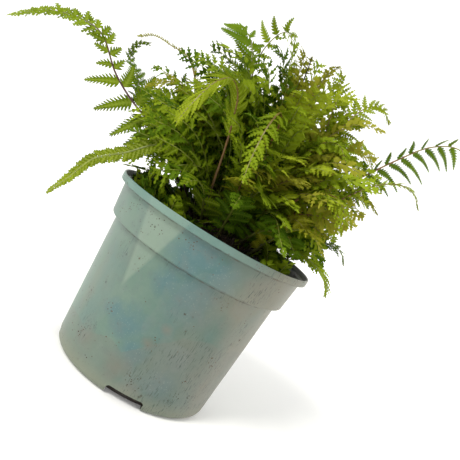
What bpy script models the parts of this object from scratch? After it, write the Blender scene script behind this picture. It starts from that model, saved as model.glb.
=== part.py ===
"""Painted fern in a plastic nursery pot: the pot, its potting mix, the rhizome and every frond as a solid.

Blender 4.5, metres, +Z up. The origin is the centre of the pot's base, on the surface that it stands on,
and the pot's axis is Z. The photographed side looks along +Y.
"""

import math
from typing import NamedTuple

import bmesh
import bpy
import numpy as np
from mathutils import Matrix, Vector, noise
from mathutils.bvhtree import BVHTree

MM = 0.001
GAP = 0.3 * MM
MERGE = 0.01 * MM

# Pot, a 15 cm nursery container
POT_HEIGHT = 124.5 * MM
RIM_RADIUS = 75.0 * MM
RIM_BAND = 5.0 * MM
LIP_CHAMFER = 0.5 * MM
COLLAR_TOP_RADIUS = 71.2 * MM
COLLAR_FOOT_RADIUS = 69.0 * MM
COLLAR_DROP = 28.0 * MM
COLLAR_ROUNDING = 1.0 * MM
COLLAR_EASE = 0.5 * MM
BODY_TOP_RADIUS = 64.8 * MM
BODY_FOOT_RADIUS = 59.3 * MM
FOOT_ROUNDING = 5.0 * MM
WALL = 1.3 * MM
FLOOR = 2.0 * MM
POT_SIDES = 36
NOTCHES = 4
NOTCH_WIDTH = 27.0 * MM
NOTCH_HEIGHT = 7.0 * MM
NOTCH_START = 47.0 * MM
NOTCH_CORNER = 2.5 * MM
FIRST_NOTCH = math.radians(-83.0)
PLASTIC_COLOUR = (0.36, 0.52, 0.50, 1.0)
PLASTIC_ROUGHNESS = 0.55

# Potting mix
MIX_EDGE_HEIGHT = 108.0 * MM
MIX_MOUND = 5.0 * MM
MIX_RINGS = 7
MIX_SIDES = POT_SIDES // 2
MIX_ROUGHNESS = 1.2 * MM
CRUMB = 9.0 * MM
MIX_COLOUR = (0.025, 0.017, 0.011, 1.0)
MIX_MATT = 0.95

# Rhizome, the creeping stem that carries the fronds, half sunk in the mix
RHIZOME_CENTRE = Vector((4.0, 0.0, 110.0)) * MM
RHIZOME_HALF = Vector((40.0, 30.0, 12.0)) * MM
RHIZOME_LUMP = 1.2 * MM
RHIZOME_LUMPS = 2.6
RHIZOME_LUMP_SEED = Vector((3.0, 1.0, 7.0))
RHIZOME_LEAST_TOP = 0.05
RHIZOME_BED_GAP = 0.4 * MM
RHIZOME_COLOUR = (0.06, 0.032, 0.018, 1.0)
RHIZOME_MATT = 0.9
RHIZOME_SEGMENTS = 16
RHIZOME_RINGS = 8

# Fronds
STALK_WIDTH = 2.0 * MM
TIP_WIDTH = 0.8 * MM
BLADE_EDGE = 0.6 * MM
SOCKET_DEPTH = 5.0 * MM
SOCKET_RADIUS = 2.1 * MM
SOCKET_SIDES = 6
STALK_STRAIGHT = 8.0 * MM
STALK_STEPS = 5
LEAF_ROUGHNESS = 0.5

# Pinnae, the leaflets of a frond
SPACING_FALL = 1.12
BARE_TIP = 0.7
PINNA_LEAN = math.radians(76.0)
PINNA_LEAN_FALL = math.radians(26.0)
PINNA_FILL = 0.92
PINNA_SLIMNESS = 0.34
PINNA_BASE = 0.44
PINNA_BASE_SHARE = 0.9
PROFILE_FOOT = 0.72
PROFILE_RISE = 1.4
PINNA_LEAN_RIPPLE = math.radians(5.0)
PINNA_FOLD_RIPPLE = math.radians(7.0)
LONG_PINNA = 31.0 * MM
SHORT_PINNA = 12.0 * MM
TINY_PINNA = 7.0 * MM
LEAST_PINNA = 3.0 * MM
LONG_OUTLINE = ((0.24, 1.0), (0.31, 0.74), (0.58, 0.72), (0.65, 0.46))
SHORT_OUTLINE = ((0.34, 1.0), (0.44, 0.66))
TINY_OUTLINE = ((0.30, 1.0),)
CLEARANCE = 0.7 * MM
OWN_CLEARANCE = 0.35 * MM
EDGE_CLEARANCE = 0.6 * MM
FOOT_INSET = 0.08
FOOT_WIDTH = 0.85
SWINGS = tuple(math.radians(angle) for angle in (0.0, 14.0, -14.0, 28.0, -28.0, 42.0, -42.0))
SHORTENINGS = (1.0, 0.7, 0.45)


class Tone(NamedTuple):
    """Leaf colour of a frond."""

    name: str
    colour: tuple


BRIGHT = Tone("bright_green", (0.19, 0.37, 0.02, 1.0))
DEEP = Tone("deep_green", (0.06, 0.17, 0.008, 1.0))
PALE = Tone("pale_green", (0.33, 0.46, 0.06, 1.0))
OLIVE = Tone("olive_green", (0.16, 0.25, 0.02, 1.0))


class Frond(NamedTuple):
    """One frond, in mm and degrees.

    root is where its stalk leaves the rhizome. heading is the upright plane that it arches in, and path the
    points (out from the root, up from the base) that its rachis passes through there. sway moves the tip
    sideways. roll turns the blade about the rachis, at its start and at its tip, fold lifts the pinnae out
    of the blade's plane and droop lets their tips hang. reach is the longest pinna and bare the share of
    the rachis with none.
    """

    root: tuple
    heading: float
    path: tuple
    pairs: int
    reach: float
    tone: Tone
    bare: float = 0.35
    roll: tuple = (0.0, 0.0)
    fold: float = 15.0
    droop: float = 0.12
    sway: float = 0.0
    taper: float = 0.9


FRONDS = (
    # The long ones that give the plant its outline, from the left round to the right
    Frond((-20, 0), 180, ((34, 153), (72, 165), (96, 177), (119, 196), (139, 197), (160, 190), (183, 173)),
          12, 36, BRIGHT, bare=0.24, roll=(-64, -50), fold=6, taper=1.0),
    Frond((-16, -9), -150, ((18, 150), (34, 157), (50, 152), (66, 137), (82, 124), (90, 106), (97, 92)),
          12, 15, PALE, bare=0.20, roll=(-50, -60), fold=5, taper=0.5),
    Frond((-12, 8), 152, ((33, 164), (65, 201), (86, 218), (106, 220), (128, 221), (143, 214)),
          9, 30, BRIGHT, bare=0.26, roll=(0, 40), fold=25, taper=1.5),
    Frond((-22, 9), 165, ((41, 150), (79, 172), (96, 188), (104, 192), (107, 200), (104, 208), (96, 211)),
          9, 30, DEEP, bare=0.26, roll=(-20, -10), fold=10, taper=0.8),
    Frond((-5, -13), -117,
          ((20, 142), (32, 169), (42, 189), (52, 203), (65, 208), (78, 201), (87, 184), (91, 170)),
          12, 24, PALE, bare=0.46, roll=(0, -10), fold=-4, taper=0.5),
    Frond((-6, 3), 148, ((14, 177), (28, 212), (40, 234), (52, 250), (68, 258)),
          9, 30, DEEP, bare=0.34, roll=(-45, -50), fold=5, taper=0.6),
    Frond((3, 9), 140, ((14, 157), (37, 199), (52, 228), (57, 250), (52, 266), (43, 271), (33, 262)),
          10, 24, BRIGHT, bare=0.44, roll=(-55, -60), fold=8, taper=0.45),
    Frond((3, -3), -97, ((1, 160), (4, 196), (16, 222), (32, 238), (48, 246)),
          9, 21, OLIVE, bare=0.40, fold=0, taper=0.4),
    Frond((18, 4), 20, ((12, 152), (23, 180), (26, 196), (17, 212), (11, 230), (7, 248), (0, 260)),
          9, 32, PALE, bare=0.22, roll=(40, 60), fold=15, taper=0.7),
    Frond((21, -3), 25, ((8, 160), (14, 200), (20, 228), (28, 248), (40, 254), (52, 248)),
          8, 24, PALE, bare=0.30, roll=(30, 50), fold=5, taper=0.5),
    Frond((27, 4), 10, ((12, 150), (28, 182), (44, 206), (60, 230), (75, 249), (93, 259), (116, 256)),
          10, 28, OLIVE, bare=0.24, roll=(-60, -60), fold=-10, droop=0.2, taper=0.4),
    Frond((31, -4), -8, ((10, 145), (28, 176), (46, 202), (60, 212), (72, 212), (80, 204)),
          9, 28, BRIGHT, bare=0.24, roll=(35, 20), fold=-5, taper=1.3),
    Frond((26, -12), -22, ((12, 130), (24, 137), (42, 138), (54, 135), (61, 129), (63, 124)),
          11, 12, BRIGHT, bare=0.30, roll=(30, 30), fold=5, taper=0.6),
    Frond((17, -11), -28, ((10, 145), (26, 172), (42, 182), (54, 178), (60, 164)),
          9, 28, PALE, bare=0.24, roll=(30, 20), fold=-5, taper=0.6),
    Frond((27, 13), 20, ((14, 140), (31, 172), (48, 192), (62, 196), (78, 190)),
          9, 28, OLIVE, bare=0.24, roll=(35, 20), fold=-5, taper=0.7),
    Frond((33, 5), 0, ((14, 134), (29, 147), (42, 153), (53, 152), (59, 145)),
          8, 24, DEEP, bare=0.20, roll=(25, 20), fold=0, taper=0.6),
    Frond((5, -14), -116, ((6, 155), (14, 182), (24, 202), (36, 208), (48, 196), (56, 174), (58, 160)),
          9, 18, BRIGHT, bare=0.26, roll=(0, 0), fold=-8, sway=24, taper=0.6),
    # The back of the plant
    Frond((20, 15), 50, ((18, 160), (36, 200), (56, 224), (80, 232), (104, 222)),
          8, 28, BRIGHT, bare=0.22, roll=(25, 20), fold=10, taper=0.65),
    Frond((13, 17), 88, ((16, 160), (38, 198), (66, 218), (98, 220), (126, 204)),
          8, 28, DEEP, bare=0.22, fold=12, taper=0.65),
    Frond((-8, 15), 125, ((16, 150), (42, 184), (72, 200), (104, 194), (124, 174)),
          8, 28, BRIGHT, bare=0.22, roll=(-30, -20), fold=12, taper=0.65),
    # The dense middle
    Frond((12, 3), -50, ((8, 160), (18, 190), (30, 208), (44, 212), (58, 204)),
          8, 24, BRIGHT, bare=0.22, roll=(20, 20), fold=5, taper=0.6),
    Frond((-13, -3), -165, ((14, 150), (30, 178), (46, 192), (64, 192), (78, 180)),
          8, 24, OLIVE, bare=0.22, roll=(-35, -30), fold=5, taper=0.6),
    Frond((12, -6), -100, ((6, 150), (14, 172), (26, 184), (40, 182), (50, 168)),
          8, 20, DEEP, bare=0.22, fold=5, taper=0.6),
    # Low young fronds all round
    Frond((-24, -7), -172, ((10, 124), (22, 130), (34, 132), (44, 130), (53, 127)),
          6, 18, DEEP, bare=0.16, fold=14, taper=0.5),
    Frond((-9, -19), -115, ((10, 130), (22, 142), (36, 146), (50, 140)),
          6, 20, BRIGHT, bare=0.18, fold=12, taper=0.5),
    Frond((17, -18), -60, ((10, 130), (24, 141), (40, 143), (56, 135)),
          6, 20, DEEP, bare=0.18, fold=12, taper=0.5),
    Frond((28, 17), 38, ((12, 130), (30, 142), (50, 144), (70, 134)),
          6, 22, BRIGHT, bare=0.18, fold=12, taper=0.5),
    Frond((-20, 17), 140, ((12, 130), (30, 143), (52, 146), (74, 136)),
          6, 22, DEEP, bare=0.18, fold=12, taper=0.5),
    Frond((27, -19), -38, ((10, 134), (22, 150), (36, 154), (52, 146)),
          6, 20, OLIVE, bare=0.18, fold=12, taper=0.5),
    Frond((4, -24), -90, ((8, 134), (18, 148), (30, 152), (44, 144)),
          6, 20, DEEP, bare=0.18, fold=12, taper=0.5),
    Frond((-14, 22), 108, ((10, 134), (26, 152), (46, 160), (70, 152)),
          6, 24, BRIGHT, bare=0.18, fold=12, taper=0.5),
    Frond((5, 22), 75, ((12, 132), (30, 150), (54, 155), (80, 144)),
          6, 22, OLIVE, bare=0.18, fold=12, taper=0.5),
)


def clear_scene():
    """Remove every object that the file opened with."""
    for thing in list(bpy.data.objects):
        bpy.data.objects.remove(thing, do_unlink=True)


def new_collection(name):
    """Return a new collection linked to the scene."""
    collection = bpy.data.collections.new(name)
    bpy.context.scene.collection.children.link(collection)
    return collection


def principled(name, colour, roughness, metallic=0.0):
    """Return a Principled material."""
    material = bpy.data.materials.new(name)
    material.use_nodes = True
    shader = material.node_tree.nodes["Principled BSDF"]
    shader.inputs["Base Color"].default_value = colour
    shader.inputs["Roughness"].default_value = roughness
    shader.inputs["Metallic"].default_value = metallic
    material.diffuse_color = colour
    return material


def mesh_object(name, body, collection, material=None):
    """Turn a bmesh into an object of the collection, and free it."""
    mesh = bpy.data.meshes.new(name)
    body.to_mesh(mesh)
    body.free()
    item = bpy.data.objects.new(name, mesh)
    collection.objects.link(item)
    if material is not None:
        mesh.materials.append(material)
    return item


def hide_as_cutter(item):
    """Show a cutter as wire and keep it out of renders."""
    item.hide_render = True
    item.display_type = "WIRE"


def turned(name, profile, sides, collection, material=None):
    """Turn a profile of (radius, height) points about Z. The profile runs down its outer side."""
    body = bmesh.new()
    points = [body.verts.new((radius, 0.0, height)) for radius, height in profile]
    for start, end in zip(points, points[1:]):
        body.edges.new((start, end))
    item = mesh_object(name, body, collection, material)
    screw = item.modifiers.new("turn", "SCREW")
    screw.steps = sides
    screw.render_steps = sides
    screw.use_merge_vertices = True
    screw.merge_threshold = MERGE
    screw.use_smooth_shade = True
    return item


def arc(centre, radius, start, end, steps):
    """Points of an arc in (radius, height), angles in degrees from +radius towards +height."""
    angles = np.radians(np.linspace(start, end, steps + 1))
    return [(centre[0] + radius * math.cos(a), centre[1] + radius * math.sin(a)) for a in angles]


def cut(item, name, cutter, operand="OBJECT"):
    """Take a cutter, or a collection of cutters, out of an item."""
    boolean = item.modifiers.new(name, "BOOLEAN")
    boolean.operation = "DIFFERENCE"
    boolean.operand_type = operand
    if operand == "OBJECT":
        boolean.object = cutter
    else:
        boolean.collection = cutter


def evaluated_polygons(item):
    """World-space vertices and polygons of an item with its modifiers."""
    bpy.context.view_layer.update()
    graph = bpy.context.evaluated_depsgraph_get()
    shown = item.evaluated_get(graph)
    mesh = shown.to_mesh()
    points = [item.matrix_world @ vertex.co for vertex in mesh.vertices]
    polygons = [tuple(polygon.vertices) for polygon in mesh.polygons]
    shown.to_mesh_clear()
    return points, polygons


def pot_body_radius(height):
    """Outer radius of the pot's body below the collar."""
    share = height / (POT_HEIGHT - COLLAR_DROP)
    return BODY_FOOT_RADIUS + (BODY_TOP_RADIUS - BODY_FOOT_RADIUS) * share


def build_pot(parts, cutters):
    """The pot: thin wall, collar and lip turned in one profile. Its foot notches also drain it."""
    collar_foot = POT_HEIGHT - COLLAR_DROP
    collar_top = POT_HEIGHT - RIM_BAND
    inner_foot = BODY_FOOT_RADIUS - FOOT_ROUNDING
    inside = [
        (0.0, FLOOR),
        (inner_foot, FLOOR),
    ]
    inside += arc((inner_foot, FOOT_ROUNDING), FOOT_ROUNDING - WALL, -45, 0, 1)
    inside += [
        (BODY_TOP_RADIUS - WALL, collar_foot - WALL),
        (COLLAR_FOOT_RADIUS - WALL, collar_foot + WALL),
        (COLLAR_TOP_RADIUS - WALL, collar_top),
        (RIM_RADIUS - WALL, collar_top + WALL),
        (RIM_RADIUS - WALL, POT_HEIGHT),
    ]
    outside = [
        (RIM_RADIUS - LIP_CHAMFER, POT_HEIGHT),
        (RIM_RADIUS, POT_HEIGHT - LIP_CHAMFER),
        (RIM_RADIUS, collar_top),
        (COLLAR_TOP_RADIUS, collar_top - COLLAR_EASE),
    ]
    collar_corner = (COLLAR_FOOT_RADIUS - COLLAR_ROUNDING, collar_foot + COLLAR_ROUNDING)
    outside += arc(collar_corner, COLLAR_ROUNDING, 0, -80, 2)
    outside += [(pot_body_radius(collar_foot), collar_foot)]
    outside += arc((inner_foot, FOOT_ROUNDING), FOOT_ROUNDING, 0, -90, 3)
    outside += [(0.0, 0.0)]
    plastic = principled("pot_plastic", PLASTIC_COLOUR, PLASTIC_ROUGHNESS)
    pot = turned("pot", inside + outside, POT_SIDES, parts, plastic)

    notches = bmesh.new()
    for index in range(NOTCHES):
        turn = Matrix.Rotation(FIRST_NOTCH + index * math.tau / NOTCHES, 4, "Z")
        length = RIM_RADIUS - NOTCH_START
        place = turn @ Matrix.Translation((NOTCH_START + length / 2, 0.0, 0.0))
        size = Matrix.Diagonal((length, NOTCH_WIDTH, 2 * NOTCH_HEIGHT, 1.0))
        bmesh.ops.create_cube(notches, size=1.0, matrix=place @ size)
    upper = [edge for edge in notches.edges
             if min(vertex.co.z for vertex in edge.verts) > 0.0
             and abs(edge.verts[0].co.xy.length - edge.verts[1].co.xy.length) > 0.5 * length]
    bmesh.ops.bevel(notches, geom=upper, offset=NOTCH_CORNER, segments=2, profile=0.5, affect="EDGES")
    notch_cutter = mesh_object("foot_notches", notches, cutters)
    hide_as_cutter(notch_cutter)
    cut(pot, "foot notches", notch_cutter)
    return pot


def rhizome_surface(direction, proud=0.0):
    """Point of the lumpy rhizome in a direction from its centre, standing proud of it by a distance."""
    lump = RHIZOME_LUMP * noise.noise(direction * RHIZOME_LUMPS + RHIZOME_LUMP_SEED)
    radius = 1.0 / math.sqrt(sum((direction[i] / RHIZOME_HALF[i]) ** 2 for i in range(3)))
    return RHIZOME_CENTRE + direction * (radius + lump + proud)


def rhizome_top(x, y):
    """Height of the smooth rhizome over a point of the plan."""
    across = ((x - RHIZOME_CENTRE.x) / RHIZOME_HALF.x) ** 2 + ((y - RHIZOME_CENTRE.y) / RHIZOME_HALF.y) ** 2
    return RHIZOME_CENTRE.z + RHIZOME_HALF.z * math.sqrt(max(RHIZOME_LEAST_TOP, 1.0 - across))


def rhizome_solid(name, proud, collection, material=None):
    """The rhizome's lumpy form, from a sphere pushed out to its surface."""
    body = bmesh.new()
    bmesh.ops.create_uvsphere(body, u_segments=RHIZOME_SEGMENTS, v_segments=RHIZOME_RINGS, radius=1.0)
    for vertex in body.verts:
        vertex.co = rhizome_surface(vertex.co.normalized(), proud)
    bmesh.ops.triangulate(body, faces=body.faces, quad_method="FIXED")
    return mesh_object(name, body, collection, material)


def mix_height(x, y):
    """Height of the potting mix: a low mound with a crumbly surface."""
    share = min(1.0, math.hypot(x, y) / COLLAR_TOP_RADIUS)
    spot = Vector((x, y, 0.0))
    crumbs = noise.noise(spot / CRUMB) + 0.5 * noise.noise(spot.yxz / (0.5 * CRUMB))
    return MIX_EDGE_HEIGHT + MIX_MOUND * (1.0 - share ** 2) + MIX_ROUGHNESS * crumbs


def build_mix(parts, cutters):
    """The potting mix, turned to the pot's inside, with a crumbly top and a bed for the rhizome.

    Its sides are half as many as the pot's, so its corners face the corners of the pot's wall.
    """
    collar_foot = POT_HEIGHT - COLLAR_DROP
    inset = WALL + GAP
    edge_radius = COLLAR_FOOT_RADIUS - inset
    profile = [(edge_radius * ring / MIX_RINGS, MIX_EDGE_HEIGHT) for ring in range(MIX_RINGS + 1)]
    profile += [
        (edge_radius, collar_foot + WALL + GAP),
        (BODY_TOP_RADIUS - inset, collar_foot - WALL - GAP),
        (BODY_FOOT_RADIUS - inset, FOOT_ROUNDING + FLOOR),
        (BODY_FOOT_RADIUS - FOOT_ROUNDING - GAP, FLOOR + GAP),
        (0.0, FLOOR + GAP),
    ]
    loam = principled("potting_mix", MIX_COLOUR, MIX_MATT)
    blank = turned("mix_blank", profile, MIX_SIDES, cutters)
    points, polygons = evaluated_polygons(blank)
    bpy.data.objects.remove(blank, do_unlink=True)
    body = bmesh.new()
    made = [body.verts.new(point) for point in points]
    for polygon in polygons:
        body.faces.new([made[index] for index in polygon])
    for vertex in body.verts:
        if vertex.co.z > MIX_EDGE_HEIGHT - MERGE:
            vertex.co.z = mix_height(vertex.co.x, vertex.co.y)
    bmesh.ops.triangulate(body, faces=body.faces)
    mix = mesh_object("potting_mix", body, parts, loam)
    bed = rhizome_solid("rhizome_bed", RHIZOME_BED_GAP, cutters)
    hide_as_cutter(bed)
    cut(mix, "rhizome bed", bed)
    return mix


class Rachis:
    """The line of a frond's stalk and midrib, with its frame at any place along it."""

    SAMPLES = 240

    def __init__(self, frond):
        self.frond = frond
        self.heading = math.radians(frond.heading)
        self.forward = Vector((math.cos(self.heading), math.sin(self.heading), 0.0))
        self.side = Vector((-math.sin(self.heading), math.cos(self.heading), 0.0))
        root_x, root_y = frond.root[0] * MM, frond.root[1] * MM
        top = rhizome_top(root_x, root_y)
        first = Vector((frond.path[0][0] * MM, frond.path[0][1] * MM - top)).normalized()
        foot = (-first.x * SOCKET_DEPTH, top - first.y * SOCKET_DEPTH)
        collar = (foot[0] + first.x * STALK_STRAIGHT, foot[1] + first.y * STALK_STRAIGHT)
        knots = [foot, collar] + [(out * MM, up * MM) for out, up in frond.path]
        line = self.through(np.array(knots))
        reach = np.concatenate(([0.0], np.cumsum(np.linalg.norm(np.diff(line, axis=0), axis=1))))
        self.length = float(reach[-1])
        even = np.linspace(0.0, self.length, self.SAMPLES)
        share = even / self.length
        out = np.interp(even, reach, line[:, 0])
        up = np.interp(even, reach, line[:, 1])
        drift = frond.sway * MM * share ** 2
        self.places = [
            Vector((root_x, root_y, 0.0)) + self.forward * o + self.side * d + Vector((0.0, 0.0, u))
            for o, u, d in zip(out, up, drift)
        ]

    @staticmethod
    def through(knots, steps=24):
        """Smooth line through the knots, each stretch a cubic with the slopes of its neighbours."""
        gaps = np.linalg.norm(np.diff(knots, axis=0), axis=1)
        times = np.concatenate(([0.0], np.cumsum(gaps)))
        slopes = np.empty_like(knots)
        slopes[1:-1] = (knots[2:] - knots[:-2]) / (times[2:] - times[:-2])[:, None]
        slopes[0] = (knots[1] - knots[0]) / gaps[0]
        slopes[-1] = (knots[-1] - knots[-2]) / gaps[-1]
        line = [knots[0]]
        for index, gap in enumerate(gaps):
            for step in range(1, steps + 1):
                t = step / steps
                line.append(
                    (2 * t**3 - 3 * t**2 + 1) * knots[index]
                    + (t**3 - 2 * t**2 + t) * gap * slopes[index]
                    + (3 * t**2 - 2 * t**3) * knots[index + 1]
                    + (t**3 - t**2) * gap * slopes[index + 1]
                )
        return np.array(line)

    def place(self, distance):
        """Point at a distance along the line."""
        spot = min(max(distance / self.length, 0.0), 1.0) * (self.SAMPLES - 1)
        index = min(int(spot), self.SAMPLES - 2)
        return self.places[index].lerp(self.places[index + 1], spot - index)

    def frame(self, distance):
        """Tangent, blade side and upper face at a distance along the line."""
        step = self.length / self.SAMPLES
        tangent = (self.place(distance + step) - self.place(distance - step)).normalized()
        flat = (self.side - tangent * self.side.dot(tangent)).normalized()
        upper = tangent.cross(flat)
        start, end = self.frond.roll
        roll = math.radians(start + (end - start) * distance / self.length)
        side = flat * math.cos(roll) + upper * math.sin(roll)
        return tangent, side, tangent.cross(side)

    def width(self, distance):
        """Width of the stalk or midrib."""
        share = distance / self.length
        return STALK_WIDTH + (TIP_WIDTH - STALK_WIDTH) * share


def pinna_profile(share, taper):
    """Length of a pinna, as a share of the longest, at a share of the blade."""
    return min(1.0, PROFILE_FOOT + PROFILE_RISE * share) * (1.0 - share) ** taper


def pinna_outline(length):
    """Half a pinna's outline, as (share of its length, share of its half width), with teeth forward."""
    if length >= LONG_PINNA:
        return LONG_OUTLINE
    if length >= SHORT_PINNA:
        return SHORT_OUTLINE
    if length >= TINY_PINNA:
        return TINY_OUTLINE
    return ()


class Pair(NamedTuple):
    """A pair of pinnae: its number, its centre on the rachis, the room along the rachis, and its length."""

    number: int
    centre: float
    room: float
    length: float

    def half_base(self):
        """Half the stretch of the rachis that a pinna is joined to."""
        return 0.5 * PINNA_BASE * min(self.room, PINNA_BASE_SHARE * self.length)


class Blade:
    """A frond's leaf as one open sheet: the midrib's strip and a toothed pinna each side of each pair."""

    def __init__(self, rachis, number):
        self.rachis = rachis
        self.frond = rachis.frond
        self.number = number
        self.sheet = bmesh.new()
        self.thickness = {}
        self.own = []
        self.pairs = self.lay_out_pairs()
        self.stations = {}
        self.build_strip()
        self.sheet.normal_update()

    def lay_out_pairs(self):
        """Pairs along the rachis, closer together towards the tip."""
        frond, length = self.frond, self.rachis.length
        bare = frond.bare * length
        span = length - bare
        count = frond.pairs + BARE_TIP
        pairs = []
        for index in range(frond.pairs):
            shares = ((index + step) / count for step in (0.0, 0.5, 1.0))
            start, middle, end = (1.0 - (1.0 - share) ** SPACING_FALL for share in shares)
            reach = max(frond.reach * MM * pinna_profile(middle, frond.taper), LEAST_PINNA)
            pairs.append(Pair(index, bare + middle * span, (end - start) * span, reach))
        return pairs

    def vertex(self, place, thickness):
        """Add a vertex with the thickness that the solid has there."""
        vertex = self.sheet.verts.new(place)
        self.thickness[vertex] = thickness
        return vertex

    def quad(self, a, b, c, d):
        """A quad as two triangles."""
        self.sheet.faces.new((a, b, c))
        self.sheet.faces.new((a, c, d))

    def build_strip(self):
        """The stalk and midrib, with a station at each corner of each pair's base."""
        rachis = self.rachis
        bare = self.frond.bare * rachis.length
        distances = [0.0] + list(np.linspace(STALK_STRAIGHT, bare, STALK_STEPS))[:-1]
        for pair in self.pairs:
            distances += [pair.centre - pair.half_base(), pair.centre + pair.half_base()]
        rows = []
        for distance in distances:
            side = rachis.frame(distance)[1]
            width = rachis.width(distance)
            centre = rachis.place(distance)
            rows.append([self.vertex(centre + side * (sign * width / 2), width) for sign in (-1, 1)])
        for low, high in zip(rows, rows[1:]):
            self.quad(low[0], low[1], high[1], high[0])
        tip = self.vertex(rachis.place(rachis.length), BLADE_EDGE)
        self.sheet.faces.new((rows[-1][0], rows[-1][1], tip))
        paired = rows[len(rows) - 2 * len(self.pairs):]
        for pair, low, high in zip(self.pairs, paired[::2], paired[1::2]):
            self.stations[pair.number] = (low, high)

    def ripple(self, pair, sign):
        """Small natural unevenness between pinnae, from -1 to 1."""
        return math.sin(2.4 * pair.number + 1.7 * self.number + 0.9 * sign)

    def pinna_points(self, pair, sign, swing, size):
        """Points of one pinna: rows of (back, front) from its base outwards, its tip, and its normal."""
        frond, rachis = self.frond, self.rachis
        length = pair.length * size
        tangent, side, upper = rachis.frame(pair.centre)
        share = (pair.centre / rachis.length - frond.bare) / (1.0 - frond.bare)
        ripple = self.ripple(pair, sign)
        lean = PINNA_LEAN - PINNA_LEAN_FALL * share + PINNA_LEAN_RIPPLE * ripple
        fold = math.radians(frond.fold) + swing + PINNA_FOLD_RIPPLE * ripple
        outward = side * (sign * math.cos(fold)) + upper * math.sin(fold)
        axis = tangent * math.cos(lean) + outward * math.sin(lean)
        across = (tangent - axis * tangent.dot(axis)).normalized()
        half = 0.5 * min(PINNA_FILL * pair.room * math.sin(lean), PINNA_SLIMNESS * length)
        base = rachis.place(pair.centre) + side * (sign * rachis.width(pair.centre) / 2)
        fall = Vector((0.0, 0.0, -frond.droop * length))
        rows = []
        for along, wide in pinna_outline(length):
            spine = base + axis * (along * length) + fall * along ** 2
            rows.append((spine - across * (half * wide), spine + across * (half * wide)))
        return rows, base + axis * length + fall, axis.cross(across).normalized()

    def is_clear(self, corners, points, blockers):
        """Whether a pinna stands clear of the other nodes and of this frond's own pinnae."""
        rows, tip, normal = points
        low, high = (corner.co for corner in corners)
        first = rows[0][0].lerp(rows[0][1], 0.5) if rows else tip
        foot = low.lerp(high, 0.5).lerp(first, FOOT_INSET)
        outline = [foot.lerp(low, FOOT_WIDTH)] + [row[0] for row in rows] + [tip]
        outline += [row[1] for row in reversed(rows)] + [foot.lerp(high, FOOT_WIDTH)]
        middle = sum(outline, Vector()) / len(outline)
        wide = [place + (place - middle).normalized() * EDGE_CLEARANCE for place in outline]
        stout = prism(wide, normal, CLEARANCE)
        if any(blocker.overlap(stout) for blocker in blockers):
            return False
        slim = prism(outline, normal, OWN_CLEARANCE)
        if any(other.overlap(slim) for other in self.own):
            return False
        self.own.append(slim)
        return True

    def grow(self, blockers):
        """Give every pair its pinnae, swung or shortened where that clears a neighbour."""
        for pair in self.pairs:
            low, high = self.stations[pair.number]
            for column, sign in enumerate((-1, 1)):
                self.grow_pinna(pair, sign, (low[column], high[column]), blockers)

    def grow_pinna(self, pair, sign, corners, blockers):
        """Add one pinna in the first position that is clear, or none."""
        for size in SHORTENINGS:
            if pair.length * size < LEAST_PINNA:
                return
            for swing in SWINGS:
                points = self.pinna_points(pair, sign, swing, size)
                if self.is_clear(corners, points, blockers):
                    self.add_pinna(corners, points, sign)
                    return

    def add_pinna(self, corners, points, sign):
        """Add a pinna's faces to the sheet, thick at the midrib and thin at the edge."""
        rows, tip, _ = points
        root = 0.5 * (self.thickness[corners[0]] + BLADE_EDGE)
        previous = corners
        for index, row in enumerate(rows):
            thickness = root + (BLADE_EDGE - root) * (index + 1) / len(rows)
            current = tuple(self.vertex(place, thickness) for place in row)
            if sign > 0:
                self.quad(previous[0], current[0], current[1], previous[1])
            else:
                self.quad(previous[0], previous[1], current[1], current[0])
            previous = current
        end = self.vertex(tip, BLADE_EDGE)
        if sign > 0:
            self.sheet.faces.new((previous[0], end, previous[1]))
        else:
            self.sheet.faces.new((previous[0], previous[1], end))

    def strip_tree(self):
        """Search tree of the stalk and midrib, thickened face by face, before the pinnae grow."""
        points = []
        polygons = []
        for face in self.sheet.faces:
            corners = [vertex.co.copy() for vertex in face.verts]
            lift = face.normal * (0.5 * STALK_WIDTH)
            start = len(points)
            points += [corner + lift for corner in corners] + [corner - lift for corner in corners]
            polygons += [(start, start + 1, start + 2), (start + 3, start + 4, start + 5)]
            for edge in range(3):
                after = (edge + 1) % 3
                polygons.append((start + edge, start + after, start + 3 + after, start + 3 + edge))
        return BVHTree.FromPolygons(points, polygons)


def prism(outline, normal, reach):
    """Search tree of an outline's prism, standing out by a reach on both sides."""
    count = len(outline)
    points = [place + normal * reach for place in outline] + [place - normal * reach for place in outline]
    polygons = [tuple(range(count)), tuple(range(2 * count - 1, count - 1, -1))]
    polygons += [(i, (i + 1) % count, (i + 1) % count + count, i + count) for i in range(count)]
    return BVHTree.FromPolygons(points, polygons)


def solid_frond(blade, parts):
    """The sheet thickened to one closed solid, thick at the stalk and thin at the pinnae's edges."""
    sheet = blade.sheet
    name = f"frond_{blade.number:02d}"
    bmesh.ops.recalc_face_normals(sheet, faces=sheet.faces)
    shares = [blade.thickness[vertex] / STALK_WIDTH for vertex in sheet.verts]
    tone = blade.frond.tone
    item = mesh_object(name, sheet, parts, principled(f"{name}_{tone.name}", tone.colour, LEAF_ROUGHNESS))
    group = item.vertex_groups.new(name="thickness")
    for index, share in enumerate(shares):
        group.add([index], share, "REPLACE")
    solidify = item.modifiers.new("thickness", "SOLIDIFY")
    solidify.thickness = STALK_WIDTH
    solidify.offset = 0.0
    solidify.vertex_group = group.name
    return item


def search_tree(item):
    """Search tree of an item's solid."""
    points, polygons = evaluated_polygons(item)
    return BVHTree.FromPolygons(points, polygons)


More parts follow.
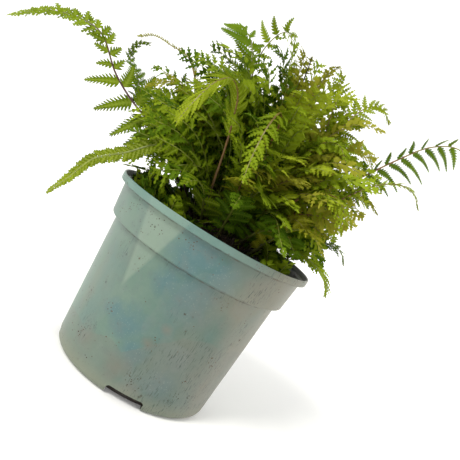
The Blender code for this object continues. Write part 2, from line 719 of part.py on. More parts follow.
def socket_cutters(lines, collection):
    """One plain hole in the rhizome for each stalk, along the stalk's foot."""
    for index, line in enumerate(lines):
        body = bmesh.new()
        tangent = (line.place(STALK_STRAIGHT) - line.place(0.0)).normalized()
        depth = 2.0 * STALK_STRAIGHT
        middle = line.place(0.0) + tangent * (depth / 2 - GAP)
        place = Matrix.Translation(middle) @ tangent.to_track_quat("Z", "Y").to_matrix().to_4x4()
        bmesh.ops.create_cone(body, cap_ends=True, segments=SOCKET_SIDES, radius1=SOCKET_RADIUS,
                              radius2=SOCKET_RADIUS, depth=depth, matrix=place)
        hide_as_cutter(mesh_object(f"socket_{index + 1:02d}", body, collection))


def build_rhizome(lines, parts, cutters):
    """The rhizome with a socket for each stalk."""
    bark = principled("rhizome", RHIZOME_COLOUR, RHIZOME_MATT)
    rhizome = rhizome_solid("rhizome", 0.0, parts, bark)
    sockets = bpy.data.collections.new("sockets")
    cutters.children.link(sockets)
    socket_cutters(lines, sockets)
    cut(rhizome, "stalk sockets", sockets, operand="COLLECTION")
    return rhizome


def build_fronds(lines, solids, parts):
    """Every frond, each clear of the pot, the mix, the rhizome and the fronds before it."""
    blades = [Blade(line, number) for number, line in enumerate(lines, start=1)]
    strips = [blade.strip_tree() for blade in blades]
    done = [search_tree(solid) for solid in solids]
    for index, blade in enumerate(blades):
        blade.grow(done + strips[:index] + strips[index + 1:])
        done.append(search_tree(solid_frond(blade, parts)))


def main():
    """Build the fern."""
    clear_scene()
    parts = new_collection("potted_painted_fern")
    cutters = new_collection("cutters")
    pot = build_pot(parts, cutters)
    mix = build_mix(parts, cutters)
    lines = [Rachis(frond) for frond in FRONDS]
    rhizome = build_rhizome(lines, parts, cutters)
    build_fronds(lines, (pot, mix, rhizome), parts)


main()
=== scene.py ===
"""Looks of a fern in a plastic nursery pot: aged plastic, crumbly mix, scaly rhizome and finely cut fronds.

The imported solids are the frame. Every piece here stands in the place of one of them, at its size, and adds
what a plain solid can't carry: lobed pinnae with their ribs, dusty moulded plastic, crumbs, roots, seedlings.
"""

import logging
import math
from dataclasses import dataclass, field, replace
from enum import Enum
from functools import cache

import bmesh
import bpy
import numpy as np
from mathutils import Matrix, Vector, noise


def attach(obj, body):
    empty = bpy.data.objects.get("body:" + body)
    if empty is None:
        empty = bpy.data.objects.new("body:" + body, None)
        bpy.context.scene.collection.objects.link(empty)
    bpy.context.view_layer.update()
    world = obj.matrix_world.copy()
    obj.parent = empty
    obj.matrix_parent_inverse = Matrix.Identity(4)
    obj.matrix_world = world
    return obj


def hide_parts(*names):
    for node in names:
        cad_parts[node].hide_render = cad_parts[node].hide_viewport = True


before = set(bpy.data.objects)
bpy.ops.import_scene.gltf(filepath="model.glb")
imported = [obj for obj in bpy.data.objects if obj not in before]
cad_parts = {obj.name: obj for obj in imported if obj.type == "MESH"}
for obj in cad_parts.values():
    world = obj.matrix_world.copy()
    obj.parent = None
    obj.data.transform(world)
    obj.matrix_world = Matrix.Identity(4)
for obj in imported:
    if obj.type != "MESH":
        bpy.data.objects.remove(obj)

log = logging.getLogger("fern")

MM = 0.001
BODY = "root"
Colour = tuple[float, float, float, float]
Spots = tuple[tuple[float, float, float], ...]
Body = tuple[np.ndarray, np.ndarray]
Curve = tuple[tuple[float, float], ...]


@dataclass(frozen=True)
class Field:
    """A value in a material's graph, which takes arithmetic with other fields and plain numbers."""

    graph: "Graph"
    socket: bpy.types.NodeSocket

    def step(self, kind: str, other: object) -> "Field":
        """One arithmetic step with another value, by the operation's name."""
        return self.graph.add("Math", {0: self, 1: other}, operation=kind)

    def __add__(self, other: object) -> "Field":
        """The sum with another value."""
        return self.step("ADD", other)

    def __sub__(self, other: object) -> "Field":
        """The difference from another value."""
        return self.step("SUBTRACT", other)

    def __mul__(self, other: object) -> "Field":
        """The product with another value."""
        return self.step("MULTIPLY", other)

    def most(self, other: object) -> "Field":
        """The higher of this and another value."""
        return self.step("MAXIMUM", other)

    def span(self, low: float, high: float, bottom: float = 0.0, top: float = 1.0) -> "Field":
        """The values stretched from the range low to high to the range bottom to top, clamped."""
        inputs = {"Value": self, "From Min": low, "From Max": high, "To Min": bottom, "To Max": top}
        return self.graph.add("MapRange", inputs)


class Graph:
    """A material's node tree, with short calls for the nodes that the finishes share. Sizes are in mm."""

    EVEN = (1.0, 1.0, 1.0)

    def __init__(self, name: str) -> None:
        """Start a material that holds a Principled shader.

        Args:
            name: The material's name.
        """
        self.material = bpy.data.materials.new(name)
        self.material.use_nodes = True
        self.tree = self.material.node_tree
        self.shader = self.tree.nodes["Principled BSDF"]
        self.output = self.tree.nodes["Material Output"]

    def feed(self, socket: bpy.types.NodeSocket, value: object) -> None:
        """Link an input to a field, or set it to a plain value.

        Args:
            socket: The input to feed.
            value: A field or a plain value.
        """
        if isinstance(value, Field):
            self.tree.links.new(value.socket, socket)
        else:
            socket.default_value = value

    def add(self, kind: str, inputs: dict, output: int | str = 0, **settings: object) -> Field:
        """Add a node.

        Args:
            kind: The node's type, without its ShaderNode prefix.
            inputs: What feeds its inputs, by name or index.
            output: The output to read.
            settings: Its own properties.

        Returns:
            Its output.
        """
        node = self.tree.nodes.new(f"ShaderNode{kind}")
        for key, value in settings.items():
            setattr(node, key, value)
        for key, value in inputs.items():
            self.feed(node.inputs[key], value)
        return Field(self, node.outputs[output])

    def place(self, stretch: tuple[float, float, float] = EVEN) -> Field:
        """Object coordinates in metres, stretched by a factor along each axis.

        Args:
            stretch: The factors.

        Returns:
            The coordinates.
        """
        where = self.add("TexCoord", {}, "Object")
        if stretch == self.EVEN:
            return where
        return self.add("Mapping", {"Vector": where, "Scale": stretch})

    def split(self, vector: Field | None = None) -> list[Field]:
        """The three parts of a vector, or of the place across, in depth and in height."""
        first = self.add("SeparateXYZ", {0: vector or self.place()})
        return [Field(self, output) for output in first.socket.node.outputs]

    def noise(self, size: float, detail: float = 2.0, rough: float = 0.5, stretch: tuple = EVEN) -> Field:
        """Cloudy values from 0 to 1.

        Args:
            size: The clouds' size.
            detail: How many finer layers they have.
            rough: How strong the finer layers are.
            stretch: The factors that the place is stretched by.

        Returns:
            The values.
        """
        scale = 1.0 / (size * MM)
        inputs = {"Vector": self.place(stretch), "Scale": scale, "Detail": detail, "Roughness": rough}
        return self.add("TexNoise", inputs)

    def cells(self, size: float, output: str = "Distance") -> Field:
        """Distance to the middle of scattered cells of a size, or each cell's own colour."""
        return self.add("TexVoronoi", {"Vector": self.place(), "Scale": 1.0 / (size * MM)}, output)

    def blend(self, share: object, first: object, second: object) -> Field:
        """A blend of two colours, by the share of the second."""
        return self.add("Mix", {0: share, 6: first, 7: second}, 2, data_type="RGBA", blend_type="MIX")

    def coat(self, colour: object, *coats: tuple[Field, object]) -> Field:
        """Lay colours over a first one.

        Args:
            colour: The first colour.
            coats: How much of each further colour shows, and that colour.

        Returns:
            The colour with its coats.
        """
        for share, tone in coats:
            colour = self.blend(share, colour, tone)
        return colour

    def bump(self, height: Field, strength: float, depth: float) -> Field:
        """Shading relief of a strength and a depth, from heights of 0 to 1."""
        return self.add("Bump", {"Height": height, "Strength": strength, "Distance": depth * MM})

    def marks(self) -> list[Field]:
        """The three growth marks of a plant's mesh: across, tint and along."""
        return self.split(self.add("Attribute", {}, "Vector", attribute_name=MeshDraft.MARKS))

    def dress(self, colour: Field, rough: object, normal: Field | None = None, **plain: object) -> None:
        """Feed the Principled shader.

        Args:
            colour: The base colour.
            rough: The roughness.
            normal: The relief, if any.
            plain: Plain values of other sockets, named with underscores for spaces.
        """
        self.feed(self.shader.inputs["Base Color"], colour)
        self.feed(self.shader.inputs["Roughness"], rough)
        if normal is not None:
            self.feed(self.shader.inputs["Normal"], normal)
        for name, value in plain.items():
            self.shader.inputs[name.replace("_", " ")].default_value = value


@dataclass(frozen=True)
class PlasticFinish:
    """Blue-green polypropylene after years outdoors: faded in patches, dusty, scuffed and splashed with soil.
    It also carries painted light and shade: a window reflection, highlights on the lip and right edge, and
    shade in the creases and on the inner wall.

    Spots hold a place across the pot's front, a height and a reach, all in mm.
    """

    sage: Colour = (0.132, 0.202, 0.154, 1.0)
    duck_egg: Colour = (0.070, 0.146, 0.120, 1.0)
    sky_blue: Colour = (0.064, 0.144, 0.160, 1.0)
    rose: Colour = (0.160, 0.142, 0.108, 1.0)
    sallow: Colour = (0.195, 0.180, 0.128, 1.0)
    stone: Colour = (0.140, 0.146, 0.120, 1.0)
    painted_reflection: Colour = (0.245, 0.310, 0.238, 1.0)
    foot: Colour = (0.200, 0.205, 0.145, 1.0)
    # lip: a lighter colour painted on the lip's top on the left as a highlight.
    lip: Colour = (0.120, 0.235, 0.205, 1.0)
    film: Colour = (0.165, 0.200, 0.178, 1.0)
    bloom: Colour = (0.290, 0.345, 0.310, 1.0)
    scratch: Colour = (0.040, 0.060, 0.050, 1.0)
    soil: Colour = (0.040, 0.022, 0.011, 1.0)
    rust: Colour = (0.085, 0.038, 0.016, 1.0)
    # inside: dark olive painted shade for the inner wall of the collar and lip.
    inside: Colour = (0.040, 0.046, 0.014, 1.0)
    # Heights of the creases under the collar and lip, which get painted shade lines.
    creases: tuple[float, float] = (95.8 * MM, 119.0 * MM)
    stone_edge: float = 40.0 * MM
    scallop: float = 24.0 * MM
    stone_tilt: float = 34.0 * MM
    blues: Spots = (
        (1.0, 106.0, 24.0), (20.0, 104.0, 17.0), (13.0, 84.0, 24.0), (-6.0, 84.0, 14.0), (-15.0, 48.0, 17.0),
        (-3.0, 34.0, 14.0), (-27.0, 50.0, 10.0), (22.0, 24.0, 14.0), (24.0, 44.0, 12.0))
    roses: Spots = (
        (47.0, 108.0, 13.0), (42.0, 91.0, 10.0), (2.0, 44.0, 6.0), (8.0, 58.0, 5.0), (60.0, 56.0, 14.0),
        (52.0, 24.0, 12.0), (-34.0, 22.0, 10.0), (-7.0, 20.0, 12.0), (6.0, 9.0, 11.0))
    splashes: Spots = (
        (-30.0, 113.0, 10.0), (-28.0, 86.0, 6.0), (-47.0, 115.0, 5.0), (-40.0, 23.0, 8.0), (-27.0, 13.0, 7.0),
        (7.0, 17.0, 8.0), (40.0, 18.0, 12.0), (23.0, 48.0, 4.0))
    # Place of the pale wedge, a painted reflection of a window on the front.
    wedge_top: float = 119.0 * MM
    wedge_left: tuple[float, float] = (-42.0 * MM, 0.19)
    wedge_right: tuple[float, float] = (-13.0 * MM, -0.32)

    @cache
    def material(self) -> bpy.types.Material:
        """Build the material, once.

        Returns:
            The material.
        """
        graph = Graph("aged_blue_green_plastic")
        colour, clouds = self.tones(graph)
        dust, scuffs, soil_specks_and_crease_shade = self.dust(graph, clouds), self.scuffs(graph), self.soil_specks_and_crease_shade(graph)
        soil = graph.blend(graph.noise(12.0, 1.0).span(0.56, 0.62), self.soil, self.rust)
        # Soil specks and the painted crease shade take the soil colour.
        colour = graph.coat(colour, (dust, self.bloom), (scuffs, self.scratch), (soil_specks_and_crease_shade, soil))
        rough = clouds.span(0.0, 1.0, 0.40, 0.32) + dust * 0.5 + soil_specks_and_crease_shade * 0.45
        relief = graph.noise(1.4, 3.0) + soil_specks_and_crease_shade * 1.5 - scuffs * 0.6
        graph.dress(colour, rough, graph.bump(relief, 0.20, 0.12), Specular_IOR_Level=0.45)
        return graph.material

    def tones(self, graph: Graph) -> tuple[Field, Field]:
        """The plastic's colour: blue in the middle, sage and rose beside it, beige in faded patches, with
        painted light and shade: a beige highlight along the right edge, a lighter lip on the left, a window
        reflection and dark shade on the inner wall.

        Args:
            graph: The material's graph.

        Returns:
            The colour, and how blue it is.
        """
        across, depth, height = graph.split()
        front = depth.span(0.0, -12.0 * MM)
        clouds = graph.noise(44.0, 1.5).span(0.46, 0.56) * front.span(0.0, 1.0, 1.0, 0.3)
        teal = clouds.most(across.span(-26.0 * MM, 12.0 * MM) * front)
        blue = graph.noise(27.0, stretch=(1.0, 1.0, 0.7)).span(0.56, 0.66, 0.0, 0.3)
        blue = blue.most(self.near(graph, self.blues, 0.3))
        rose = graph.noise(19.0, stretch=(1.2, 1.2, 0.45)).span(0.60, 0.70, 0.0, 0.3)
        rose = rose.most(self.near(graph, self.roses, 0.1))
        # Faded patches, plus a ramp towards the right edge that is a painted highlight there.
        fading_and_edge_highlight = graph.noise(60.0, stretch=(0.8, 1.3, 0.6)) + across.span(34.0 * MM, 66.0 * MM, 0.0, 0.34)
        low = height + graph.noise(30.0, 0.5, stretch=(1.0, 1.0, 0.5)) * self.scallop
        low = low - across.span(-9.0 * MM, 20.0 * MM, 0.0, self.stone_tilt)
        tide = graph.noise(38.0, 1.0, stretch=(1.3, 1.3, 0.8)).span(0.545, 0.56, 0.0, 0.16)
        # A lighter, bluer top of the lip on the left and middle: a painted highlight.
        lip = height.span(119.2 * MM, 119.7 * MM, 0.0, 0.5) * across.span(15.0 * MM, 45.0 * MM, 1.0, 0.0)
        colour = graph.coat(
            self.sage, (teal, self.duck_egg), (blue * 0.72, self.sky_blue), (rose * 0.65, self.rose),
            # Sallow shows in the faded patches and, as a painted highlight, along the right edge.
            (fading_and_edge_highlight.span(0.54, 0.76, 0.0, 0.85), self.sallow),
            (low.span(self.stone_edge, self.stone_edge - 1.2 * MM, 0.0, 0.42), self.stone), (tide, self.film),
            # The pale wedge is a painted reflection of a window.
            (self.wedge(across, depth, height), self.painted_reflection),
            (height.span(5.0 * MM, 14.0 * MM, 0.6, 0.0), self.foot), (lip, self.lip),
            # The inner wall is painted dark as shade.
            (self.painted_inner_shade(graph, height), self.inside))
        return colour, blue

    def painted_inner_shade(self, graph: Graph, height: Field) -> Field:
        """Where the inside of the collar and lip is, which is painted dark olive as shade.

        Args:
            graph: The material's graph.
            height: The height.

        Returns:
            How much it shows.
        """
        radius = graph.add("VectorMath", {0: graph.place((1.0, 1.0, 0.0))}, "Value", operation="LENGTH")
        wall = height.span(96.5 * MM, 119.5 * MM, 68.3 * MM, 70.5 * MM)
        wall = wall + height.span(119.2 * MM, 120.0 * MM, 0.0, 3.4 * MM)
        return (radius - wall).span(-0.1 * MM, 0.1 * MM, 0.85, 0.0) * height.span(98.0 * MM, 98.5 * MM)

    def near(self, graph: Graph, spots: Spots, core: float) -> Field:
        """How near the front comes to some spots, with ragged edges.

        Args:
            graph: The material's graph.
            spots: The spots.
            core: The share of the reach that shows in full.

        Returns:
            From 0 away from them to 1 in their middles.
        """
        across, depth, height = graph.split()
        front = graph.add("CombineXYZ", {0: across, 2: height})
        wobble = graph.noise(9.0).span(0.2, 0.8, -0.4, 0.4)
        total = None
        for x, z, reach in spots:
            gap = graph.add("VectorMath", {0: front, 1: (x * MM, 0.0, z * MM)}, "Value", operation="DISTANCE")
            share = (gap.span(0.0, reach * MM) + wobble).span(core, 1.0, 1.0, 0.0)
            total = share if total is None else total.most(share)
        return total * depth.span(0.0, -MM)

    def wedge(self, across: Field, depth: Field, height: Field) -> Field:
        """A pale wedge on the front, which narrows downwards: a painted reflection of a window.

        Args:
            across: Place across.
            depth: Place in depth.
            height: The height.

        Returns:
            How much it shows.
        """
        drop = height * -1.0 + self.wedge_top
        sides = [
            ((across - (drop * slope + start)) * way).span(0.0, 2.0 * MM)
            for (start, slope), way in ((self.wedge_left, 1.0), (self.wedge_right, -1.0))
        ]
        return sides[0] * sides[1] * depth.span(0.0, -15.0 * MM, 0.0, 0.5)

    def dust(self, graph: Graph, blue: Field) -> Field:
        """Dried drops of water that left pale spots, in loose patches.

        Args:
            graph: The material's graph.
            blue: How blue the plastic is, for the drops show most there.

        Returns:
            How much dust shows.
        """
        patches = graph.noise(30.0).span(0.48, 0.62, 0.0, 0.35).most(blue.span(0.2, 0.8))
        dots = graph.cells(1.7).span(0.12, 0.26, 1.0, 0.0) * patches
        return dots * 0.26 + graph.noise(5.0, 5.0, 0.7).span(0.42, 0.8, 0.0, 0.10)

    def scuffs(self, graph: Graph) -> Field:
        """Fine upright scratches, most of them on the right side.

        Args:
            graph: The material's graph.

        Returns:
            How much of them shows.
        """
        across, _, height = graph.split()
        side = across.span(0.0, 48.0 * MM, -0.10, 0.10) + height.span(30.0 * MM, 80.0 * MM, 0.05, -0.04)
        lines = graph.noise(0.6, stretch=(1.0, 1.0, 0.10)).span(0.58, 0.66, 0.0, 0.75)
        return lines * (graph.noise(24.0) + side).span(0.50, 0.62)

    def soil_specks_and_crease_shade(self, graph: Graph) -> Field:
        """Splashed soil in clusters, a few bigger crumbs, and dark brownish lines in the creases under the
        lip and collar, which are painted shade with some grime.

        Args:
            graph: The material's graph.

        Returns:
            How much soil shows.
        """
        height = graph.split()[2]
        near = self.near(graph, self.splashes, 0.35)
        ragged = graph.noise(0.8) * 0.25
        layers = []
        for size, width, lowest, clusters in ((1.7, 0.30, 0.40, 12.0), (5.5, 0.22, 0.45, 22.0)):
            spots = (graph.cells(size) + ragged).span(width, width + 0.12, 1.0, 0.0)
            picked = graph.cells(size, "Color").span(lowest, lowest + 0.05)
            layers.append(spots * picked * near.most(graph.noise(clusters, 1.0).span(0.63, 0.70)))
        total = layers[0].most(layers[1])
        # Painted shade along each crease, tinted brown like grime.
        for crease in self.creases:
            line = (height - crease).step("ABSOLUTE", 0.0).span(0.4 * MM, 1.1 * MM, 0.5, 0.0)
            total = total.most(line * graph.noise(6.0, 4.0, 0.7).span(0.40, 0.58))
        return total


@dataclass(frozen=True)
class EarthFinish:
    """Something dark and matt from the ground: peat, bark, grit or old roots."""

    name: str
    dark: Colour
    light: Colour
    grain: float
    rough: float = 0.92
    relief: float = 0.6

    @cache
    def material(self) -> bpy.types.Material:
        """Build the material, once.

        Returns:
            The material.
        """
        graph = Graph(self.name)
        grain, moist = graph.noise(self.grain, 4.0, 0.65), graph.noise(14.0)
        colour = graph.blend(grain.span(0.42, 0.66), self.dark, self.light)
        colour = graph.blend(moist.span(0.4, 0.7, 0.0, 0.5), colour, self.dark)
        rough = moist.span(0.4, 0.7, self.rough, self.rough - 0.25)
        graph.dress(colour, rough, graph.bump(grain, self.relief, 0.35), Specular_IOR_Level=0.3)
        return graph.material


@dataclass(frozen=True)
class StalkFinish:
    """Stalk and midrib: dark at the foot, lighter towards the tip, with a satin skin."""

    name: str
    foot: Colour
    middle: Colour
    tip: Colour

    @cache
    def material(self) -> bpy.types.Material:
        """Build the material, once.

        Returns:
            The material.
        """
        graph = Graph(self.name)
        streaks = graph.noise(2.5, 3.0)
        along = graph.marks()[2] + streaks.span(0.3, 0.7, -0.12, 0.12)
        coats = (along.span(0.1, 0.5), self.middle), (along.span(0.55, 0.95), self.tip)
        colour = graph.coat(self.foot, *coats)
        graph.dress(colour, 0.42, graph.bump(streaks, 0.3, 0.1), Specular_IOR_Level=0.45)
        return graph.material


@dataclass(frozen=True)
class LeafFinish:
    """Living leaf: greens from shade to young growth, pale ribs, and a glow where light comes through."""

    name: str
    deep: Colour
    full: Colour
    young: Colour
    rib: Colour
    margin: Colour
    margin_share: float = 0.25
    glow: float = 0.32

    @cache
    def material(self) -> bpy.types.Material:
        """Build the material, once.

        Returns:
            The material.
        """
        graph = Graph(self.name)
        across, tint, _ = graph.marks()
        mottle = graph.noise(1.6, 3.0).span(0.3, 0.7, -0.10, 0.10)
        tint = tint + graph.noise(16.0).span(0.3, 0.7, -0.16, 0.16) + mottle
        colour = graph.coat(
            self.deep, (tint.span(0.0, 0.5), self.full), (tint.span(0.5, 1.0), self.young),
            (across.span(0.72, 1.0, 0.0, self.margin_share), self.margin),
            (across.span(0.0, 0.22, 0.55, 0.0), self.rib))
        normal = graph.bump(graph.noise(0.9) + across.span(0.0, 0.3), 0.35, 0.12)
        graph.dress(colour, mottle.span(-0.1, 0.1, 0.70, 0.55), normal, Specular_IOR_Level=0.06)
        through = graph.blend(0.35, colour, self.young)
        lit = graph.add("BsdfTranslucent", {"Color": through, "Normal": normal})
        skin = Field(graph, graph.shader.outputs[0])
        graph.feed(graph.output.inputs["Surface"], graph.add("MixShader", {0: self.glow, 1: skin, 2: lit}))
        return graph.material


@dataclass(frozen=True)
class StageFinish:
    """Plain pale studio surface."""

    tone: Colour = (0.93, 0.93, 0.92, 1.0)
    shade: Colour = (0.88, 0.88, 0.88, 1.0)
    white: Colour = (1.0, 1.0, 1.0, 1.0)
    glow: float = 0.12

    @cache
    def material(self) -> bpy.types.Material:
        """Build the material, once.

        Returns:
            The material.
        """
        graph = Graph("pale_studio")
        colour = graph.blend(graph.noise(40.0).span(0.3, 0.7, 0.0, 0.05), self.tone, self.shade)
        glow = {"Emission_Color": self.white, "Emission_Strength": self.glow}
        graph.dress(colour, 0.9, Specular_IOR_Level=0.1, **glow)
        return graph.material


class Leaf(Enum):
    """The greens of this plant's leaves."""

    BRIGHT = LeafFinish(
        "bright_leaf", (0.070, 0.120, 0.003, 1.0), (0.205, 0.295, 0.007, 1.0), (0.37, 0.48, 0.020, 1.0),
        (0.36, 0.44, 0.055, 1.0), (0.10, 0.145, 0.004, 1.0))
    DEEP = LeafFinish(
        "deep_leaf", (0.022, 0.055, 0.002, 1.0), (0.075, 0.155, 0.004, 1.0), (0.19, 0.30, 0.010, 1.0),
        (0.17, 0.25, 0.025, 1.0), (0.04, 0.07, 0.002, 1.0), glow=0.28)
    PALE = LeafFinish(
        "pale_leaf", (0.14, 0.200, 0.004, 1.0), (0.265, 0.350, 0.007, 1.0), (0.43, 0.51, 0.025, 1.0),
        (0.45, 0.51, 0.09, 1.0), (0.16, 0.225, 0.008, 1.0), glow=0.36)
    OLIVE = LeafFinish(
        "olive_leaf", (0.080, 0.092, 0.003, 1.0), (0.255, 0.27, 0.009, 1.0), (0.42, 0.42, 0.035, 1.0),
        (0.36, 0.35, 0.06, 1.0), (0.09, 0.055, 0.012, 1.0), 0.5)


class Stalk(Enum):
    """The colours of this plant's stalks and midribs."""

    PURPLE = StalkFinish(
        "purple_stalk", (0.035, 0.018, 0.012, 1.0), (0.07, 0.022, 0.016, 1.0), (0.22, 0.26, 0.05, 1.0))
    RUSSET = StalkFinish(
        "russet_stalk", (0.03, 0.022, 0.008, 1.0), (0.19, 0.092, 0.020, 1.0), (0.22, 0.22, 0.04, 1.0))
    GREEN = StalkFinish(
        "green_stalk", (0.035, 0.035, 0.008, 1.0), (0.13, 0.16, 0.015, 1.0), (0.28, 0.33, 0.05, 1.0))
    BLACK = StalkFinish(
        "black_stalk", (0.03, 0.02, 0.012, 1.0), (0.022, 0.015, 0.010, 1.0), (0.04, 0.035, 0.012, 1.0))


def put(name: str, data: bpy.types.ID) -> bpy.types.Object:
    """Put a new object in the scene.

    Args:
        name: Its name.
        data: Its mesh, light or camera.

    Returns:
        The object.
    """
    made = bpy.data.objects.new(name, data)
    bpy.context.scene.collection.objects.link(made)
    return made


def new_mesh(name: str, points: np.ndarray, faces: np.ndarray) -> bpy.types.Mesh:
    """Make a mesh.

    Args:
        name: Its name.
        points: Its points.
        faces: Its triangles.

    Returns:
        The mesh.
    """
    mesh = bpy.data.meshes.new(name)
    mesh.from_pydata(points.tolist(), [], faces.tolist())
    return mesh


@dataclass
class MeshDraft:
    """Points, triangles, finishes and growth marks of one piece while it is being made."""

    MARKS = "growth"

    name: str
    points: list[np.ndarray] = field(default_factory=list)
    marks: list[np.ndarray] = field(default_factory=list)
    faces: list[np.ndarray] = field(default_factory=list)
    slots: list[np.ndarray] = field(default_factory=list)
    count: int = 0

    def add(self, points: object, faces: object, slot: int = 0, marks: object = (0.0, 0.0, 0.0)) -> None:
        """Add a patch.

        Args:
            points: Its points.
            faces: Its triangles, by index into its own points.
            slot: The index of its finish.
            marks: Growth marks, one set for all its points or one for each.
        """
        points = np.asarray(points, float).reshape(-1, 3)
        self.points.append(points)
        self.marks.append(np.broadcast_to(np.asarray(marks, float), points.shape))
        self.faces.append(np.asarray(faces, int).reshape(-1, 3) + self.count)
        self.slots.append(np.full(len(self.faces[-1]), slot))
        self.count += len(points)

    def build(self, finishes: tuple, crease: float, slot: str, *nodes: str) -> bpy.types.Object:
        """Make the piece, put it on the part's body and let it stand for its solids.

        Args:
            finishes: Its finishes, by index.
            crease: The angle in degrees above which an edge is sharp.
            slot: The record's material slot.
            nodes: The solids that it stands for.

        Returns:
            The piece.
        """
        mesh = new_mesh(self.name, np.concatenate(self.points), np.concatenate(self.faces))
        marks = mesh.attributes.new(self.MARKS, "FLOAT_VECTOR", "POINT")
        marks.data.foreach_set("vector", np.concatenate(self.marks).astype(np.float32).ravel())
        mesh.polygons.foreach_set("material_index", np.concatenate(self.slots).astype(np.int32))
        for finish in finishes:
            mesh.materials.append(finish.material())
        mesh.shade_smooth()
        mesh.set_sharp_from_angle(angle=math.radians(crease))
        return settle(put(self.name, mesh), slot, *nodes)


def settle(piece: bpy.types.Object, slot: str, *nodes: str) -> bpy.types.Object:
    """Put a piece on the part's body and let it stand for its solids.

    Args:
        piece: The piece.
        slot: Not used.
        nodes: The solids that it stands for.

    Returns:
        The piece.
    """
    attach(piece, BODY)
    if nodes:
        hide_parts(*nodes)
    log.info("%s: %d triangles", piece.name, sum(len(p.vertices) - 2 for p in piece.data.polygons))
    return piece


def unit(vectors: np.ndarray) -> np.ndarray:
    """One vector or rows of them, scaled to length 1."""
    return vectors / np.maximum(np.linalg.norm(vectors, axis=-1, keepdims=True), 1e-9)


def body_faces(rings: int, sides: int) -> np.ndarray:
    """Outward triangles of a body whose points are its rings, then its first and its last end.

    Args:
        rings: How many rings it has.
        sides: How many points each of them has.

    Returns:
        The triangles.
    """
    row, step = np.meshgrid(np.arange(rings - 1), np.arange(sides), indexing="ij")
    after = (step + 1) % sides
    a, b = row * sides + step, row * sides + after
    c, d = a + sides, b + sides
    step, after, last = step[0], after[0], (rings - 1) * sides
    end = np.full(sides, rings * sides)
    corners = ((d, b, a), (c, d, a), (end, step, after), (end + 1, last + after, last + step))
    return np.concatenate([np.stack(three, -1).reshape(-1, 3) for three in corners])


def turned(radii: np.ndarray, heights: np.ndarray, sides: int) -> np.ndarray:
    """Rings of points round the upright axis.

    Args:
        radii: Each ring's radius.
        heights: Each ring's height.
        sides: How many points each of them has.

    Returns:
        The points.
    """
    angles = np.linspace(0.0, math.tau, sides, endpoint=False)
    parts = (radii, np.cos(angles)), (radii, np.sin(angles)), (heights, np.ones(sides))
    return np.stack([np.outer(*part) for part in parts], -1).reshape(-1, 3)


def tube(path: np.ndarray, radii: np.ndarray, sides: int) -> Body:
    """A closed round rod along a path, with pointed ends.

    Args:
        path: The points of its middle line.
        radii: Its radius at each.
        sides: How many sides it has.

    Returns:
        Its points and triangles.
    """
    tangents = unit(np.gradient(path, axis=0))
    guide = np.array([0.0, 0.0, 1.0]) if abs(tangents[:, 2]).mean() < 0.8 else np.array([1.0, 0.0, 0.0])
    side = unit(np.cross(tangents, guide))
    upper = np.cross(side, tangents)
    angles = np.linspace(0.0, math.tau, sides, endpoint=False)
    ring = np.cos(angles)[None, :, None] * side[:, None] + np.sin(angles)[None, :, None] * upper[:, None]
    rings = (path[:, None] + ring * radii[:, None, None]).reshape(-1, 3)
    ends = np.array([path[0] - tangents[0] * radii[0], path[-1] + tangents[-1] * radii[-1]])
    return np.concatenate([rings, ends]), body_faces(len(path), sides)


@dataclass
class PhotoCamera:
    """The photograph's camera. It is rolled, which makes the standing pot look tilted as it is held there."""

    picture: float = 460.0
    focal: float = 590.0
    elevation: float = math.radians(6.0)
    roll: float = math.radians(31.4)
    distance: float = 0.42
    aim: Vector = field(default_factory=lambda: Vector((0.0, 0.0, 124.5 * MM)))
    aim_pixel: tuple[float, float] = (218.4, 223.8)
    sensor: float = 36.0

    def build(self) -> bpy.types.Object:
        """Make the camera so that the middle of the pot's rim falls on its pixel.

        Returns:
            The camera.
        """
        forward = Vector((0.0, math.cos(self.elevation), -math.sin(self.elevation)))
        level = Vector((1.0, 0.0, 0.0))
        below = forward.cross(level)
        right = level * math.cos(self.roll) - below * math.sin(self.roll)
        down = level * math.sin(self.roll) + below * math.cos(self.roll)
        across, drop = ((pixel - 0.5 * self.picture) / self.focal for pixel in self.aim_pixel)
        ray = Vector((across, drop, 1.0)).normalized() * self.distance
        spot = self.aim - (right * ray.x + down * ray.y + forward * ray.z)
        lens = bpy.data.cameras.new("photo_camera")
        lens.sensor_width = self.sensor
        lens.lens = self.focal / self.picture * self.sensor
        camera = put("photo_camera", lens)
        turn = Matrix((right, -down, -forward)).transposed().to_4x4()
        camera.matrix_world = Matrix.Translation(spot) @ turn
        bpy.context.scene.camera = camera
        return camera


